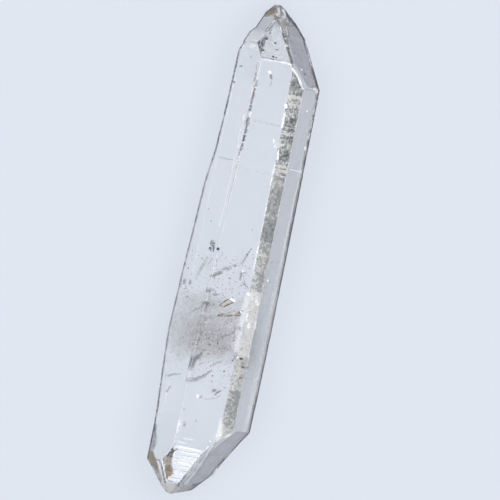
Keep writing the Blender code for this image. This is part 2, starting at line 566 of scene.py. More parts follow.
# What lies on the surface: painted shade, a smoky tint that stands in for the dark surroundings seen
# through the faces; pale frosting and painted highlights; rust stain; dark grime and painted shade; the
# crust, and how pale it is
PAINTED_SHADE, FROST_AND_HIGHLIGHT, STAIN, GRIME_AND_SHADE, RIME, PALLOR = "painted_shade", "frost_and_highlight", "stain", "grime_and_shade", "rime", "pallor"

# The lower top terminal face, and the worn lower tip
LOWER_TOP_FACE = (
    (-28, 216), (-17, 204.5), (6, 204), (2, 214), (-4, 228),
    (-12, 241), (-20, 241), (-17, 231), (-17.5, 217), (-22, 214),
)
LOWER_TIP = (
    (-25, 241), (-13, 240), (-9, 244.5), (-1, 240.5), (4, 238),
    (4, 243), (1, 246), (-9, 249.5), (-17, 252), (-26, 245.5),
)

# Marks on the faces that look up, where the photograph shows them: the kind, how strong, the line's width,
# or None for a filled outline, and points across and along the crystal, in pixels from the axis's middle
MARKS = (
    # Upper tip: rust stains, frosting and spots, and dark and pale lines along its edges, which are painted
    # shade and painted highlights
    (
        STAIN, 0.85, None,
        ((-18, -234), (-16, -240), (-13, -244.5), (-8.5, -246), (-6, -243), (-8, -239), (-12, -236.5)),
    ),
    (STAIN, 0.48, None, ((-1, -235.5), (3, -237), (8, -233), (6, -229), (4, -224), (2, -227), (0, -231))),
    (STAIN, 0.8, 2.0, ((-9, -237.5), (-6, -236), (-2.5, -236.5))),
    (STAIN, 0.7, 1.8, ((-4.5, -234.5), (-3, -233.5))),
    (STAIN, 0.7, 1.6, ((-1, -240), (-2.5, -242))),
    (STAIN, 0.4, 2.6, ((-19, -234), (-24, -226), (-27, -220), (-29, -214))),
    (FROST_AND_HIGHLIGHT, 0.85, 2.6, ((-5.5, -245), (-4, -241), (-5, -239))),
    (FROST_AND_HIGHLIGHT, 0.85, 2.4, ((-1, -245), (2, -241), (2.5, -238), (0, -238))),
    (FROST_AND_HIGHLIGHT, 0.9, 1.6, ((5.5, -234.5), (5.8, -234))),
    (GRIME_AND_SHADE, 0.6, 1.4, ((3, -244), (5, -240), (9, -237))),
    (GRIME_AND_SHADE, 0.30, 1.4, ((5, -231), (9, -230.5), (14, -232.5))),
    (GRIME_AND_SHADE, 0.55, 1.5, ((-4, -233), (0, -228), (3, -222), (8, -213))),
    (GRIME_AND_SHADE, 0.70, 2.6, ((11, -208), (15, -201.5), (18.5, -195))),
    (FROST_AND_HIGHLIGHT, 0.9, 1.8, ((8.5, -210.5), (10.5, -209.5))),
    (GRIME_AND_SHADE, 0.24, 1.2, ((5.5, -222), (10, -213), (15, -204), (21, -193.5))),
    (GRIME_AND_SHADE, 0.20, 1.6, ((-5, -232), (-8, -227), (-12, -219))),
    (GRIME_AND_SHADE, 0.22, 1.2, ((-28, -207), (-13, -207.2))),
    (FROST_AND_HIGHLIGHT, 0.40, None, ((-27, -206), (-20, -206), (-20, -201.5), (-27, -201.5))),
    (GRIME_AND_SHADE, 0.20, 1.0, ((-12.5, -193.8), (0, -193.8), (16, -194.6))),
    (FROST_AND_HIGHLIGHT, 0.5, 1.4, ((-12, -192.3), (8, -192.8))),
    (FROST_AND_HIGHLIGHT, 0.9, 2.0, ((8, -193), (13, -193.2), (18, -192))),
    (FROST_AND_HIGHLIGHT, 0.85, 2.0, ((20, -188.5), (24, -186), (28, -181), (31, -176))),
    (FROST_AND_HIGHLIGHT, 0.7, 1.6, ((31, -176), (34.5, -171))),
    (GRIME_AND_SHADE, 0.18, 1.0, ((36, -171.5), (49, -171))),
    (FROST_AND_HIGHLIGHT, 1.0, 3.0, ((46, -173.5), (49, -171.5))),
    (GRIME_AND_SHADE, 0.35, 1.2, ((-11, -213), (-13, -217))),
    (
        GRIME_AND_SHADE, 0.82, 3.2,
        ((12.5, -235), (18.8, -229.3), (25.8, -221), (33.8, -206), (42, -190), (48.6, -177.5)),
    ),
    (
        FROST_AND_HIGHLIGHT, 0.38, None,
        ((-17, -204), (-18, -212), (-13, -222), (-7.5, -233), (-5.5, -233), (-8, -222), (-11.5, -206)),
    ),
    (GRIME_AND_SHADE, 0.08, 1.6, ((12, -216), (20, -213.5), (27, -209))),
    (GRIME_AND_SHADE, 0.07, 1.6, ((16, -206), (24, -203), (31, -199))),
    (FROST_AND_HIGHLIGHT, 0.15, 2.0, ((13, -221), (19, -219), (25, -216))),
    # Sparse etched spots on the faces at the upper tip and below it
    (GRIME_AND_SHADE, 0.5, 2.0, ((33.2, -186), (33.6, -185.6))),
    (FROST_AND_HIGHLIGHT, 0.8, 1.6, ((29, -190), (29.4, -189.6))),
    (GRIME_AND_SHADE, 0.6, 1.6, ((-31.2, -181.3), (-30.2, -181))),
    (GRIME_AND_SHADE, 0.35, 1.4, ((-23, -193), (-22.6, -191.5))),
    (GRIME_AND_SHADE, 0.7, 2.0, ((-34.5, -164.6), (-34.2, -163.8))),
    (FROST_AND_HIGHLIGHT, 0.9, 2.2, ((-2, -180.8), (-0.8, -180.4))),
    (GRIME_AND_SHADE, 0.8, 1.8, ((0.3, -177.8), (1.4, -175.5))),
    (GRIME_AND_SHADE, 0.3, 1.0, ((1.6, -174), (2.2, -167))),
    # Chipped edge between the left and top faces
    (FROST_AND_HIGHLIGHT, 0.45, 2.4, ((-13.8, -189), (-13.2, -166))),
    (GRIME_AND_SHADE, 0.45, 2.0, ((-12.4, -170), (-12, -164.5))),
    (GRIME_AND_SHADE, 0.70, 2.3, ((-12.4, -161), (-12.8, -146.5))),
    (GRIME_AND_SHADE, 0.85, 2.0, ((-13, -143.5), (-13, -140))),
    (GRIME_AND_SHADE, 0.6, 3.4, ((-13, -131), (-13.2, -127))),
    (GRIME_AND_SHADE, 0.8, 2.0, ((-12.8, -125), (-13, -117))),
    (GRIME_AND_SHADE, 0.85, 2.2, ((-13.2, -113.5), (-13.4, -109))),
    (GRIME_AND_SHADE, 0.7, 1.6, ((-13.3, -105), (-14, -98.5))),
    (FROST_AND_HIGHLIGHT, 0.5, 1.4, ((-15, -168), (-15.4, -100))),
    (FROST_AND_HIGHLIGHT, 0.8, 2.4, ((-18, -133), (-17.5, -129))),
    (FROST_AND_HIGHLIGHT, 0.8, 2.2, ((-17.5, -103.5), (-17, -101))),
    (FROST_AND_HIGHLIGHT, 0.45, 1.4, ((-18.5, -128), (-18.8, -60), (-20, -20))),
    # Growth lines that stand out on the prism faces
    (GRIME_AND_SHADE, 0.19, 1.3, ((-11, -130.1), (-3, -130.2), (8, -130.0), (21, -129.9))),
    (GRIME_AND_SHADE, 0.18, 1.3, ((-12.5, -81.2), (4, -81.4), (21, -81.5))),
    (GRIME_AND_SHADE, 0.36, 1.0, ((-34, -88), (-27, -87.6), (-20, -87.8))),
    (FROST_AND_HIGHLIGHT, 0.6, 1.0, ((38, -89.5), (44, -89.8), (50, -88.8))),
    # Sparkles along the right rim: painted highlights
    (FROST_AND_HIGHLIGHT, 1.0, 1.8, ((50, -153), (50, -149.5))),
    (FROST_AND_HIGHLIGHT, 1.0, 1.8, ((50.2, -141), (50.3, -134))),
    (FROST_AND_HIGHLIGHT, 1.0, 2.0, ((50.6, -129), (50.6, -124.5))),
    (FROST_AND_HIGHLIGHT, 0.9, 2.0, ((48.4, -114.5), (48.8, -112.5))),
    (FROST_AND_HIGHLIGHT, 0.9, 1.8, ((51, -109), (51.2, -105.5))),
    (FROST_AND_HIGHLIGHT, 0.9, 1.8, ((51.8, -89), (51.9, -86.5))),
    (FROST_AND_HIGHLIGHT, 0.9, 1.8, ((42.6, -150.6), (43, -150.2))),
    # Bright marks along the edge over the frosted face: painted highlights
    (FROST_AND_HIGHLIGHT, 1.0, 2.2, ((20.6, -152), (21.4, -149.5))),
    (FROST_AND_HIGHLIGHT, 0.8, 1.6, ((21.4, -143), (21.6, -129))),
    (FROST_AND_HIGHLIGHT, 0.45, 2.0, ((16, -116), (16.4, -113))),
    (FROST_AND_HIGHLIGHT, 0.6, 2.0, ((18.2, -109.6), (18.8, -108.6))),
    (FROST_AND_HIGHLIGHT, 0.8, 1.6, ((22.6, -106), (23.6, -97))),
    (FROST_AND_HIGHLIGHT, 0.5, 1.4, ((22, -94), (21.8, -70))),
    (FROST_AND_HIGHLIGHT, 0.6, 1.3, ((21.6, -52), (21.9, -44))),
    (FROST_AND_HIGHLIGHT, 0.45, 1.2, ((21.9, -33), (21.9, -22))),
    (FROST_AND_HIGHLIGHT, 0.8, 1.6, ((21.9, -8), (22.2, -2))),
    (FROST_AND_HIGHLIGHT, 0.5, 1.3, ((22.2, 4), (22.4, 16))),
    # Pale spots and a pale veil where the inner cloud meets the right of the top face
    (FROST_AND_HIGHLIGHT, 0.20, None, ((19, 44), (24, 38), (34, 38), (35, 80), (34, 104), (20, 100), (17, 84), (18, 60))),
    (FROST_AND_HIGHLIGHT, 0.45, 3.0, ((24.6, 60.5), (24.9, 66.0))),
    (FROST_AND_HIGHLIGHT, 0.60, 3.0, ((28.2, 69.5), (28.8, 73.0))),
    (FROST_AND_HIGHLIGHT, 0.55, 1.8, ((35.0, 66.0), (35.2, 73.0))),
    (FROST_AND_HIGHLIGHT, 0.45, 3.0, ((31.0, 45.0), (33.0, 48.5))),
    (FROST_AND_HIGHLIGHT, 0.6, 2.4, ((21.0, 40.0), (22.4, 41.0))),
    (FROST_AND_HIGHLIGHT, 0.35, 2.0, ((20.4, 83.0), (22.0, 83.4))),
    (FROST_AND_HIGHLIGHT, 0.35, 1.6, ((19.6, 98.0), (22.0, 98.2))),
    (FROST_AND_HIGHLIGHT, 0.6, 1.6, ((23.4, 104.4), (25.0, 104.6))),
    (FROST_AND_HIGHLIGHT, 0.6, 1.5, ((11.4, 18.8), (12.4, 18.9))),
    (FROST_AND_HIGHLIGHT, 0.8, 1.8, ((-44.6, 45.0), (-43.2, 45.4))),
    (FROST_AND_HIGHLIGHT, 0.6, 1.4, ((-40.6, 49.2), (-39.6, 48.8))),
    (FROST_AND_HIGHLIGHT, 0.9, 1.8, ((38.0, 23.2), (38.4, 23.6))),
    # Bright spots over the ends of the flakes: painted highlights
    (FROST_AND_HIGHLIGHT, 0.9, 1.6, ((5.6, 48.6), (9.4, 50.0))),
    (FROST_AND_HIGHLIGHT, 0.7, 1.2, ((18.0, 59.2), (18.1, 60.2))),
    (FROST_AND_HIGHLIGHT, 0.7, 1.0, ((18.4, 56.4), (19.4, 56.2))),
    # Lower tip: rust stains, frosting and growth lines, and dark lines along its edges that are painted
    # shade, with pale lines beside them that are painted highlights
    (PAINTED_SHADE, 0.10, None, LOWER_TOP_FACE),
    (FROST_AND_HIGHLIGHT, 0.10, None, LOWER_TOP_FACE),
    (FROST_AND_HIGHLIGHT, 0.8, 1.5, ((-16, 203.6), (-4, 203), (7, 203.8))),
    (FROST_AND_HIGHLIGHT, 0.8, 1.3, ((-13, 207.6), (-2, 207.9), (4, 207.3))),
    (FROST_AND_HIGHLIGHT, 0.8, 1.3, ((-12, 215.2), (2, 215.6))),
    (FROST_AND_HIGHLIGHT, 0.8, 1.2, ((-14, 219), (0, 219.3))),
    (FROST_AND_HIGHLIGHT, 0.7, 1.2, ((-14, 223), (-2, 223.3))),
    (FROST_AND_HIGHLIGHT, 0.7, 1.2, ((-15, 230), (-5, 230.3))),
    (FROST_AND_HIGHLIGHT, 0.6, 1.2, ((-15, 236), (-8, 236.3))),
    (FROST_AND_HIGHLIGHT, 0.4, 1.2, ((-18, 198.4), (-8, 198.8))),
    (FROST_AND_HIGHLIGHT, 0.35, 1.1, ((-12, 194.2), (-2, 193.8))),
    (STAIN, 0.55, None, ((-28, 218), (-24, 214.5), (-18.5, 217), (-18, 223), (-20, 227), (-25.5, 226))),
    (
        STAIN, 0.95, None,
        ((-25.5, 225), (-21, 223), (-17.6, 225), (-16.2, 231.5), (-19, 235), (-22, 237), (-24, 231)),
    ),
    (
        STAIN, 0.9, None,
        (
            (-45.5, 213), (-39.5, 213), (-37, 218), (-32, 225),
            (-30, 233), (-34, 232), (-41, 226), (-45, 220),
        ),
    ),
    (STAIN, 0.6, None, ((-37, 221), (-32, 225), (-24, 241), (-28, 246), (-34, 238), (-38, 228))),
    (GRIME_AND_SHADE, 0.60, 1.9, ((-36, 220.6), (-32, 220.8), (-29.5, 225), (-26, 233), (-21.8, 242))),
    (FROST_AND_HIGHLIGHT, 0.7, 1.6, ((-29.5, 220.5), (-26, 228), (-23.5, 235), (-21, 240.5))),
    (GRIME_AND_SHADE, 0.7, 1.4, ((-17.2, 206), (-20, 209), (-23, 211), (-25, 214.5))),
    (GRIME_AND_SHADE, 0.8, 2.0, ((-21.5, 213.6), (-20.8, 214))),
    (GRIME_AND_SHADE, 0.16, 1.5, ((14.5, 193), (9, 208), (4, 221))),
    (GRIME_AND_SHADE, 0.19, 1.8, ((4, 221), (-2, 232), (-9.5, 244))),
    (FROST_AND_HIGHLIGHT, 0.7, 1.6, ((17, 196), (12, 209), (5, 226), (-3, 240))),
    (FROST_AND_HIGHLIGHT, 0.50, 2.4, ((13, 197), (8, 210), (2, 225), (-7, 241))),
    (FROST_AND_HIGHLIGHT, 0.34, 2.2, ((-20.4, 184), (-20.2, 206))),
    (GRIME_AND_SHADE, 0.2, 1.0, ((20.5, 190), (14.5, 206), (8.5, 223), (2.5, 237))),
    (FROST_AND_HIGHLIGHT, 0.9, 2.0, ((28, 184.6), (32, 181.4))),
    (STAIN, 0.36, None, LOWER_TIP),
    (FROST_AND_HIGHLIGHT, 0.56, None, LOWER_TIP),
    (STAIN, 0.5, 2.2, ((1.6, 242.6), (2.4, 243.4))),
    (GRIME_AND_SHADE, 0.45, 1.4, ((-25.5, 246), (-17, 252), (-9, 250), (1, 246.4), (4.4, 243))),
    (GRIME_AND_SHADE, 0.75, 3.0, ((31.2, 207.5), (28.7, 212.5), (25.7, 218.5), (22.2, 225.5))),
    # Painted shade: a grey strip on the left face by the lower tip, with dark lines along it
    (PAINTED_SHADE, 0.8, None, ((-46, 186), (-43, 186), (-40, 197), (-38.5, 205), (-40, 213), (-45, 213))),
    (GRIME_AND_SHADE, 0.5, 1.6, ((-42.6, 187), (-42, 192), (-40.6, 199))),
    (GRIME_AND_SHADE, 0.35, 1.2, ((-40.8, 203), (-40.4, 209))),
    # Spots between the middle and the lower tip
    (FROST_AND_HIGHLIGHT, 0.7, 1.8, ((-7.6, 149), (-7.2, 151.4))),
    (GRIME_AND_SHADE, 0.4, 1.4, ((-5, 151.5), (-3.6, 149))),
    (FROST_AND_HIGHLIGHT, 0.50, 3.0, ((-20.6, 179), (-20.2, 181.4))),
    (GRIME_AND_SHADE, 0.4, 2.0, ((-15, 178.5), (-14.6, 181.6))),
    (GRIME_AND_SHADE, 0.4, 1.8, ((-18, 165.5), (-17.6, 166.2))),
    (GRIME_AND_SHADE, 0.45, 1.4, ((-36, 146), (-38.8, 152.5))),
    (GRIME_AND_SHADE, 0.35, 1.2, ((-4.6, 173.6), (-3.6, 175.4))),
    (FROST_AND_HIGHLIGHT, 0.7, 1.7, ((13, 191.6), (14.6, 192.4))),
    (FROST_AND_HIGHLIGHT, 0.34, None, ((18.5, 166), (22, 168), (24, 184), (20, 190), (18.6, 188))),
)

# The crust on the lower right face, which shows through the top one as a mottled band: how pale it is, and
# from where to where along the crystal. The palest bars stand in for glints: painted highlights.
CRUST_AND_HIGHLIGHT_BARS = (
    (0.20, -190.0, -172.0),
    (0.30, -172.0, -164.0),
    (0.90, -164.0, -159.0),
    (0.70, -159.0, -155.0),
    (0.88, -155.0, -151.0),
    (0.34, -151.0, -146.0),
    (0.52, -146.0, -140.0),
    (0.28, -140.0, -128.4),
    (0.05, -128.4, -127.0),
    (0.78, -127.0, -122.4),
    (0.22, -122.4, -117.0),
    (0.60, -117.0, -107.6),
    (0.16, -107.6, -97.0),
    (0.50, -97.0, -92.0),
    (1.25, -92.0, -89.6),
    (0.22, -89.6, -88.2),
    (1.30, -88.2, -84.8),
    (0.44, -84.8, -76.0),
    (0.56, -76.0, -70.0),
    (0.42, -70.0, -43.0),
    (0.46, -43.0, -38.0),
    (0.24, -38.0, -14.0),
    (0.52, -14.0, -4.0),
    (0.62, -4.0, 18.0),
    (0.56, 18.0, 27.0),
    (0.66, 27.0, 36.0),
    (0.94, 36.0, 80.0),
    (0.84, 80.0, 105.0),
    (0.74, 105.0, 138.0),
    (0.44, 138.0, 163.0),
    (0.56, 163.0, 176.0),
    (0.82, 176.0, 194.0),
)
BAR_BORDER = 0.8

# Where the crust begins and ends along the axis, and over how much it fades in, in millimetres
CRUST_FROM, CRUST_TO, CRUST_MARGIN = -11.9, 11.4, 0.3

# How much the noise and the height over the floor change how pale the crust is, how much paler it is all
# over, and between which heights the change is, in millimetres
PALLOR_UNEVEN, PALLOR_FALL, PALLOR_LIFT = 0.10, 0.12, 0.06
PALLOR_FALLS_BETWEEN = (0.2, 0.9)

# Dark rims of painted shade where the faces that look up end, for the dark outlines at the crystal's sides:
# how strong, how far from the next face they fade out and in, and how ragged they are, in millimetres
RIM_PAINTED_SHADE = 0.72
LEFT_RIM = (0.16, 0.10)
RIGHT_RIM = (0.19, 0.12)
RIM_RAGGED = 0.02

# The same painted shade on the lower right face at both ends of the crystal, and where along the axis it
# sets in, measured from the middle
END_RIM_PAINTED_SHADE = 0.75
END_RIM = (0.22, 0.12)
END_RIM_FROM = (10.9, 11.3)

# Painted shade on the right face, a smoky tint for the dark surroundings seen through it, and how far from
# the top face its darker ends begin, in millimetres
RIGHT_PAINTED_SHADE = 0.60
PAINTED_SHADE_FADE = (0.35, 0.6)

# Darker painted shade past the edges of the terminal faces: how strong, and over what stretch it sets in,
# in millimetres
RIGHT_UPPER_PAINTED_SHADE = (0.98, UPPER_RIGHT_END, UPPER_RIGHT_END + 0.06)
RIGHT_LOWER_PAINTED_SHADE = (0.95, LOWER_RIGHT_END, LOWER_RIGHT_END - 0.07)
TOP_UPPER_PAINTED_SHADE = (0.54, UPPER_TOP_END - 0.03, UPPER_TOP_END + 0.05)
LEFT_UPPER_PAINTED_SHADE = (0.62, UPPER_LEFT_END - 0.2, UPPER_LEFT_END + 0.2)

# Thin frosting on the upper top terminal face, and how uneven it is
TOP_UPPER_FROST, FROST_UNEVEN = 0.06, 0.3

# Noise that makes the masks uneven: the size of its features in millimetres, a seed, and how strong
UNEVENNESS = ((0.5, 3, 0.7), (0.16, 5, 0.5))

# How ragged filled outlines are, in pixels, and how much a line's width wavers, as a share of it
RAGGED_BORDER = 1.3
RAGGED_LINE = 0.35

# Where a pit's darkening fades out and in, as a share of the pit's half sizes
PIT_FILL = (1.2, 0.8)

# A pit whose half length is over this, in pixels, is darkened less than the small ones
BROAD_PIT = 3.0
BROAD_PIT_DARKENING, SMALL_PIT_DARKENING = 0.62, 0.95


def paint_masks(mesh, heights, outer):
    """Marks on the surface, as how much of each there is at every point of the mesh."""
    co = np.array([v.co for v in mesh.vertices]) / MM - AXIS
    _, y, z = co.T
    gaps = np.stack([np.interp(y + AXIS[1], heights, outer[:, i]) for i in range(6)], axis=1)
    gaps -= co[:, [0, 2]] @ OUTWARD.T
    face = gaps.argmin(axis=1)
    u, v = as_photographed(co)
    masks = {name: np.zeros(len(co)) for name in (PAINTED_SHADE, FROST_AND_HIGHLIGHT, STAIN, GRIME_AND_SHADE, RIME, PALLOR)}
    uneven = sum(wander(co, size, seed) * much for size, seed, much in UNEVENNESS)

    def lay(name, strength, where):
        masks[name] = np.maximum(masks[name], strength * where)

    def lay_painted_shade(painted_shade, where):
        strength, begins, full = painted_shade
        lay(PAINTED_SHADE, strength, where * smooth(begins, full, y))

    on_top, on_right, on_crusted, on_left = (face == side for side in (TOP, RIGHT, UNDER_RIGHT, LEFT))
    # Painted shade: dark rims along the sides of the faces that look up, and on the lower right face by
    # both ends
    lay(GRIME_AND_SHADE, RIM_PAINTED_SHADE, on_left * smooth(*LEFT_RIM, gaps[:, UNDER_LEFT] + RIM_RAGGED * uneven))
    lay(GRIME_AND_SHADE, RIM_PAINTED_SHADE, on_right * smooth(*RIGHT_RIM, gaps[:, UNDER_RIGHT] + RIM_RAGGED * uneven))
    at_ends = smooth(*END_RIM_FROM, np.abs(y))
    lay(GRIME_AND_SHADE, END_RIM_PAINTED_SHADE, on_crusted * at_ends * smooth(*END_RIM, gaps[:, RIGHT]))
    # Painted shade: a smoky tint on the right face and, past their edges, on the terminal faces
    lay(PAINTED_SHADE, RIGHT_PAINTED_SHADE, on_right)
    from_top = smooth(*PAINTED_SHADE_FADE, gaps[:, TOP])
    lay_painted_shade(RIGHT_UPPER_PAINTED_SHADE, on_right * from_top)
    lay_painted_shade(RIGHT_LOWER_PAINTED_SHADE, on_right * from_top)
    lay_painted_shade(TOP_UPPER_PAINTED_SHADE, on_top)
    lay_painted_shade(LEFT_UPPER_PAINTED_SHADE, on_left)
    frosted = on_top * smooth(*TOP_UPPER_PAINTED_SHADE[1:], y)
    lay(FROST_AND_HIGHLIGHT, TOP_UPPER_FROST, frosted * (1.0 + FROST_UNEVEN * uneven))
    crust_starts = smooth(CRUST_FROM, CRUST_FROM + CRUST_MARGIN, y)
    lay(RIME, 1.0, on_crusted * crust_starts * smooth(CRUST_TO, CRUST_TO - CRUST_MARGIN, y))
    pallor = np.zeros(len(co))
    for pale, v_from, v_to in CRUST_AND_HIGHLIGHT_BARS:
        inside = smooth(v_from - BAR_BORDER, v_from + BAR_BORDER, v)
        pallor += pale * inside * smooth(v_to + BAR_BORDER, v_to - BAR_BORDER, v)
    fall = PALLOR_FALL * smooth(*PALLOR_FALLS_BETWEEN, z + AXIS[2])
    lay(PALLOR, 1.0, on_crusted * (pallor + PALLOR_UNEVEN * uneven - fall + PALLOR_LIFT))
    seen = on_top | on_left | on_right
    for name, strength, width, points in MARKS:
        if width is None:
            where = polygon_inside(u, v, points, RAGGED_BORDER * uneven)
        else:
            where = line_mask(u, v, points, width * (1.0 + RAGGED_LINE * uneven))
        lay(name, strength, seen * where)
    for (pit_u, pit_v), (across, along, _) in UPPER_TOP_PITS:
        reach = np.hypot((u - pit_u) / across, (v - pit_v) / along)
        filled = BROAD_PIT_DARKENING if along > BROAD_PIT else SMALL_PIT_DARKENING
        lay(GRIME_AND_SHADE, filled, on_top * smooth(*PIT_FILL, reach))
    for name, values in masks.items():
        layer = mesh.attributes.new(name, "FLOAT", "POINT")
        layer.data.foreach_set("value", np.clip(values, 0.0, 1.0).astype(np.float32))


def attribute(graph, name):
    return graph.node("ShaderNodeAttribute", {"attribute_name": name}, output="Fac")


def noise_at(graph, place, scale, detail):
    """Noise with so many features to the metre: the same number each way, or a number for each axis."""
    if isinstance(scale, tuple):
        place = graph.node("ShaderNodeVectorMath", {"operation": "MULTIPLY"}, {0: place, 1: scale})
        scale = 1.0
    inputs = {"Vector": place, "Scale": scale, "Detail": detail}
    return graph.node("ShaderNodeTexNoise", None, inputs, output="Fac")


# The crust's colours from dark to pale, the palest partly a painted highlight, and how fine its patches and
# grains are, as features to the metre
CRUST_DARK = (0.105, 0.118, 0.126)
CRUST_GREY = (0.455, 0.460, 0.452)
CRUST_WHITE_AND_HIGHLIGHT = (1.0, 0.985, 0.94)
CRUST_PATCHES = (2600.0, 5200.0, 2600.0)
CRUST_GRAINS = (7000.0, 9500.0, 7000.0)

# How mottled the crust is, and how much calmer or livelier it gets on two stretches of the crystal, given
# by where the change along it begins and is full, in metres
MOTTLED, CALMER, LIVELIER = 0.31, 0.11, 0.28
CALM_FROM = (-0.0088, -0.0080)
CALM_TO = (-0.0024, -0.0018)
LIVELY_FROM = (0.0042, 0.0054)

# How strongly grains show beside patches, and between which levels dark turns to grey and grey to white
GRAIN_SHARE = 0.94
DARK_TO_GREY = (-0.2, 0.4)
GREY_TO_WHITE = (0.40, 0.86)


def crust_colour(graph, place):
    """The mottled crust of the lower right face: dark, grey and white patches, whiter where it is paler.
    The white is partly a painted highlight.
    """
    patches = noise_at(graph, place, CRUST_PATCHES, 3.0).ramp(0.38, 0.62)
    grains = noise_at(graph, place, CRUST_GRAINS, 2.0).ramp(0.36, 0.64)
    along = graph.node("ShaderNodeSeparateXYZ", None, {0: place}, output=1)
    calm = along.ramp(*CALM_FROM) * (1.0 - along.ramp(*CALM_TO))
    mottling = MOTTLED - calm * CALMER + along.ramp(*LIVELY_FROM) * LIVELIER
    level = attribute(graph, PALLOR) + ((patches - 0.5) + (grains - 0.5) * GRAIN_SHARE) * mottling
    shade = graph.blend(level.ramp(*DARK_TO_GREY), colour(CRUST_DARK), colour(CRUST_GREY))
    return graph.blend(level.ramp(*GREY_TO_WHITE), shade, colour(CRUST_WHITE_AND_HIGHLIGHT))


# Features to the metre of the clear faces' fine specks, broad patches and streaks across the crystal
FINE_SPECKS = 9000.0
BROAD_PATCHES = 1600.0
CROSS_STREAKS = (700.0, 9000.0, 700.0)

# A pale colour for frosting and for painted highlights, and a near black for grime and for painted shade
FROST_AND_HIGHLIGHT_COLOUR = (0.88, 0.89, 0.91)
GRIME_AND_SHADE_COLOUR = (0.018, 0.020, 0.026)

# How densely the crystal takes up light, and how much the crust hides of the clear face under it
ABSORPTION = 12.0
CRUST_COVER = 0.94

# The painted shade is this strong where the noise is nothing, and patches, specks and streaks add to it
PAINTED_SHADE_EVEN, PAINTED_SHADE_PATCHY, PAINTED_SHADE_SPECKLED, PAINTED_SHADE_STREAKED = 0.83, 0.28, 0.06, 0.03

# Stain and grime keep at least a share of their strength, and patches and specks add the rest
KEPT_AT_LEAST, NOISE_ADDS = 0.7, 0.6

# How rough a frosted face and a crusted one are, and how strong and deep the faces' own unevenness is
FROSTED_ROUGHNESS, CRUSTED_ROUGHNESS = 0.45, 0.65
BUMP_STRENGTH, BUMP_DEPTH = 0.12, 0.00001


def quartz_material(settings):
    """Clear quartz under what lies on it: painted shade tints it, and the rest covers it."""
    made = bpy.data.materials.new("clear_quartz")
    graph = Graph(made)
    place = graph.node("ShaderNodeTexCoord", output="Object")
    speck = noise_at(graph, place, FINE_SPECKS, 3.0).ramp(0.36, 0.64)
    patch = noise_at(graph, place, BROAD_PATCHES, 3.0)
    streak = noise_at(graph, place, CROSS_STREAKS, 3.0)
    varied = PAINTED_SHADE_EVEN + patch * PAINTED_SHADE_PATCHY + speck * PAINTED_SHADE_SPECKLED
    painted_shade = attribute(graph, PAINTED_SHADE) * varied + (streak - 0.5) * PAINTED_SHADE_STREAKED
    frost_and_highlight = attribute(graph, FROST_AND_HIGHLIGHT)
    stain = attribute(graph, STAIN) * (KEPT_AT_LEAST + patch * NOISE_ADDS)
    grime_and_shade = attribute(graph, GRIME_AND_SHADE) * (KEPT_AT_LEAST + speck * NOISE_ADDS)
    rime = attribute(graph, RIME)
    # The painted shade tints the clear glass
    clear = graph.blend(painted_shade, colour((1.0, 1.0, 1.0)), colour(settings.painted_shade_colour))
    bump = {"Strength": BUMP_STRENGTH, "Distance": BUMP_DEPTH, "Height": streak + patch}
    uneven = graph.node("ShaderNodeBump", None, bump)
    glass = graph.node(
        "ShaderNodeBsdfPrincipled",
        None,
        {
            "Base Color": clear,
            "Roughness": frost_and_highlight.ramp(0.05, 0.6) * FROSTED_ROUGHNESS,
            "IOR": REFRACTIVE_INDEX,
            "Transmission Weight": 1.0,
            "Normal": uneven,
        },
    )
    rust = graph.blend(patch.ramp(0.35, 0.65), colour(settings.dark_rust), colour(settings.pale_rust))
    tint = graph.blend((stain * 1.6).at_most(1.0), colour(FROST_AND_HIGHLIGHT_COLOUR), rust)
    # Frosting and painted highlights, or stain, cover the glass with a pale colour
    pale_cover_and_highlight = (frost_and_highlight * (0.4 + speck * 0.5)).at_least(stain)
    dark_share = (grime_and_shade / pale_cover_and_highlight.at_least(grime_and_shade).at_least(0.01)).at_most(1.0)
    tint = graph.blend(dark_share, tint, colour(GRIME_AND_SHADE_COLOUR))
    tint = graph.blend(rime, tint, crust_colour(graph, place))
    # The dull cover carries frosting, stains, grime, the crust, and the painted shade and painted
    # highlights
    dull = {"Base Color": tint, "Roughness": CRUSTED_ROUGHNESS}
    crust = graph.node("ShaderNodeBsdfPrincipled", None, dull)
    covered = pale_cover_and_highlight.at_least(grime_and_shade).at_least(rime * CRUST_COVER).at_most(1.0)
    surface = graph.node("ShaderNodeMixShader", None, {0: covered, 1: glass, 2: crust})
    takes_up = {"Color": colour(settings.inside_colour), "Density": ABSORPTION}
    inside = graph.node("ShaderNodeVolumeAbsorption", None, takes_up)
    graph.node("ShaderNodeOutputMaterial", None, {"Surface": surface, "Volume": inside})
    return made


def link(obj):
    bpy.context.scene.collection.objects.link(obj)
    return obj


class QUARTZ_OT_body(bpy.types.Operator):
    """Make the clear crystal body from the solid's own cross-sections"""

    bl_idname = "quartz.body"
    bl_label = "Crystal body"

    def execute(self, context):
        mesh = body_mesh(context.scene.quartz_body)
        mesh.materials.clear()
        mesh.materials.append(quartz_material(context.scene.quartz_body))
        body = link(bpy.data.objects.new("quartz_body", mesh))
        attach(body, "root")
        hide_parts(NODE)
        return {"FINISHED"}


class InclusionSettings(bpy.types.PropertyGroup):
    seed: IntProperty(
        name="Seed",
        description="Which scatter of small inclusions is made",
        default=7,
    )
    dust_count: IntProperty(
        name="Dust count",
        description="How many tiny inclusions the cloud has",
        default=1500,
    )


# About where the edge between the left and top faces stands in the photograph, in pixels across the
# crystal
LEFT_EDGE_U = -17.0

# How deep an inclusion may lie before two faces show it, as a share of the depth: more for each pixel to
# the right of that edge, one value to its left, and at least a little everywhere
SHARE_PER_PX = 0.02
LEFT_SHARE = 0.10
LEAST_SHARE = 0.03

# A line of sight starts this far off the axis, and one that is inside starts again a little further on, in
# metres
SIGHT_START = 0.02
SIGHT_STEP = 1e-6


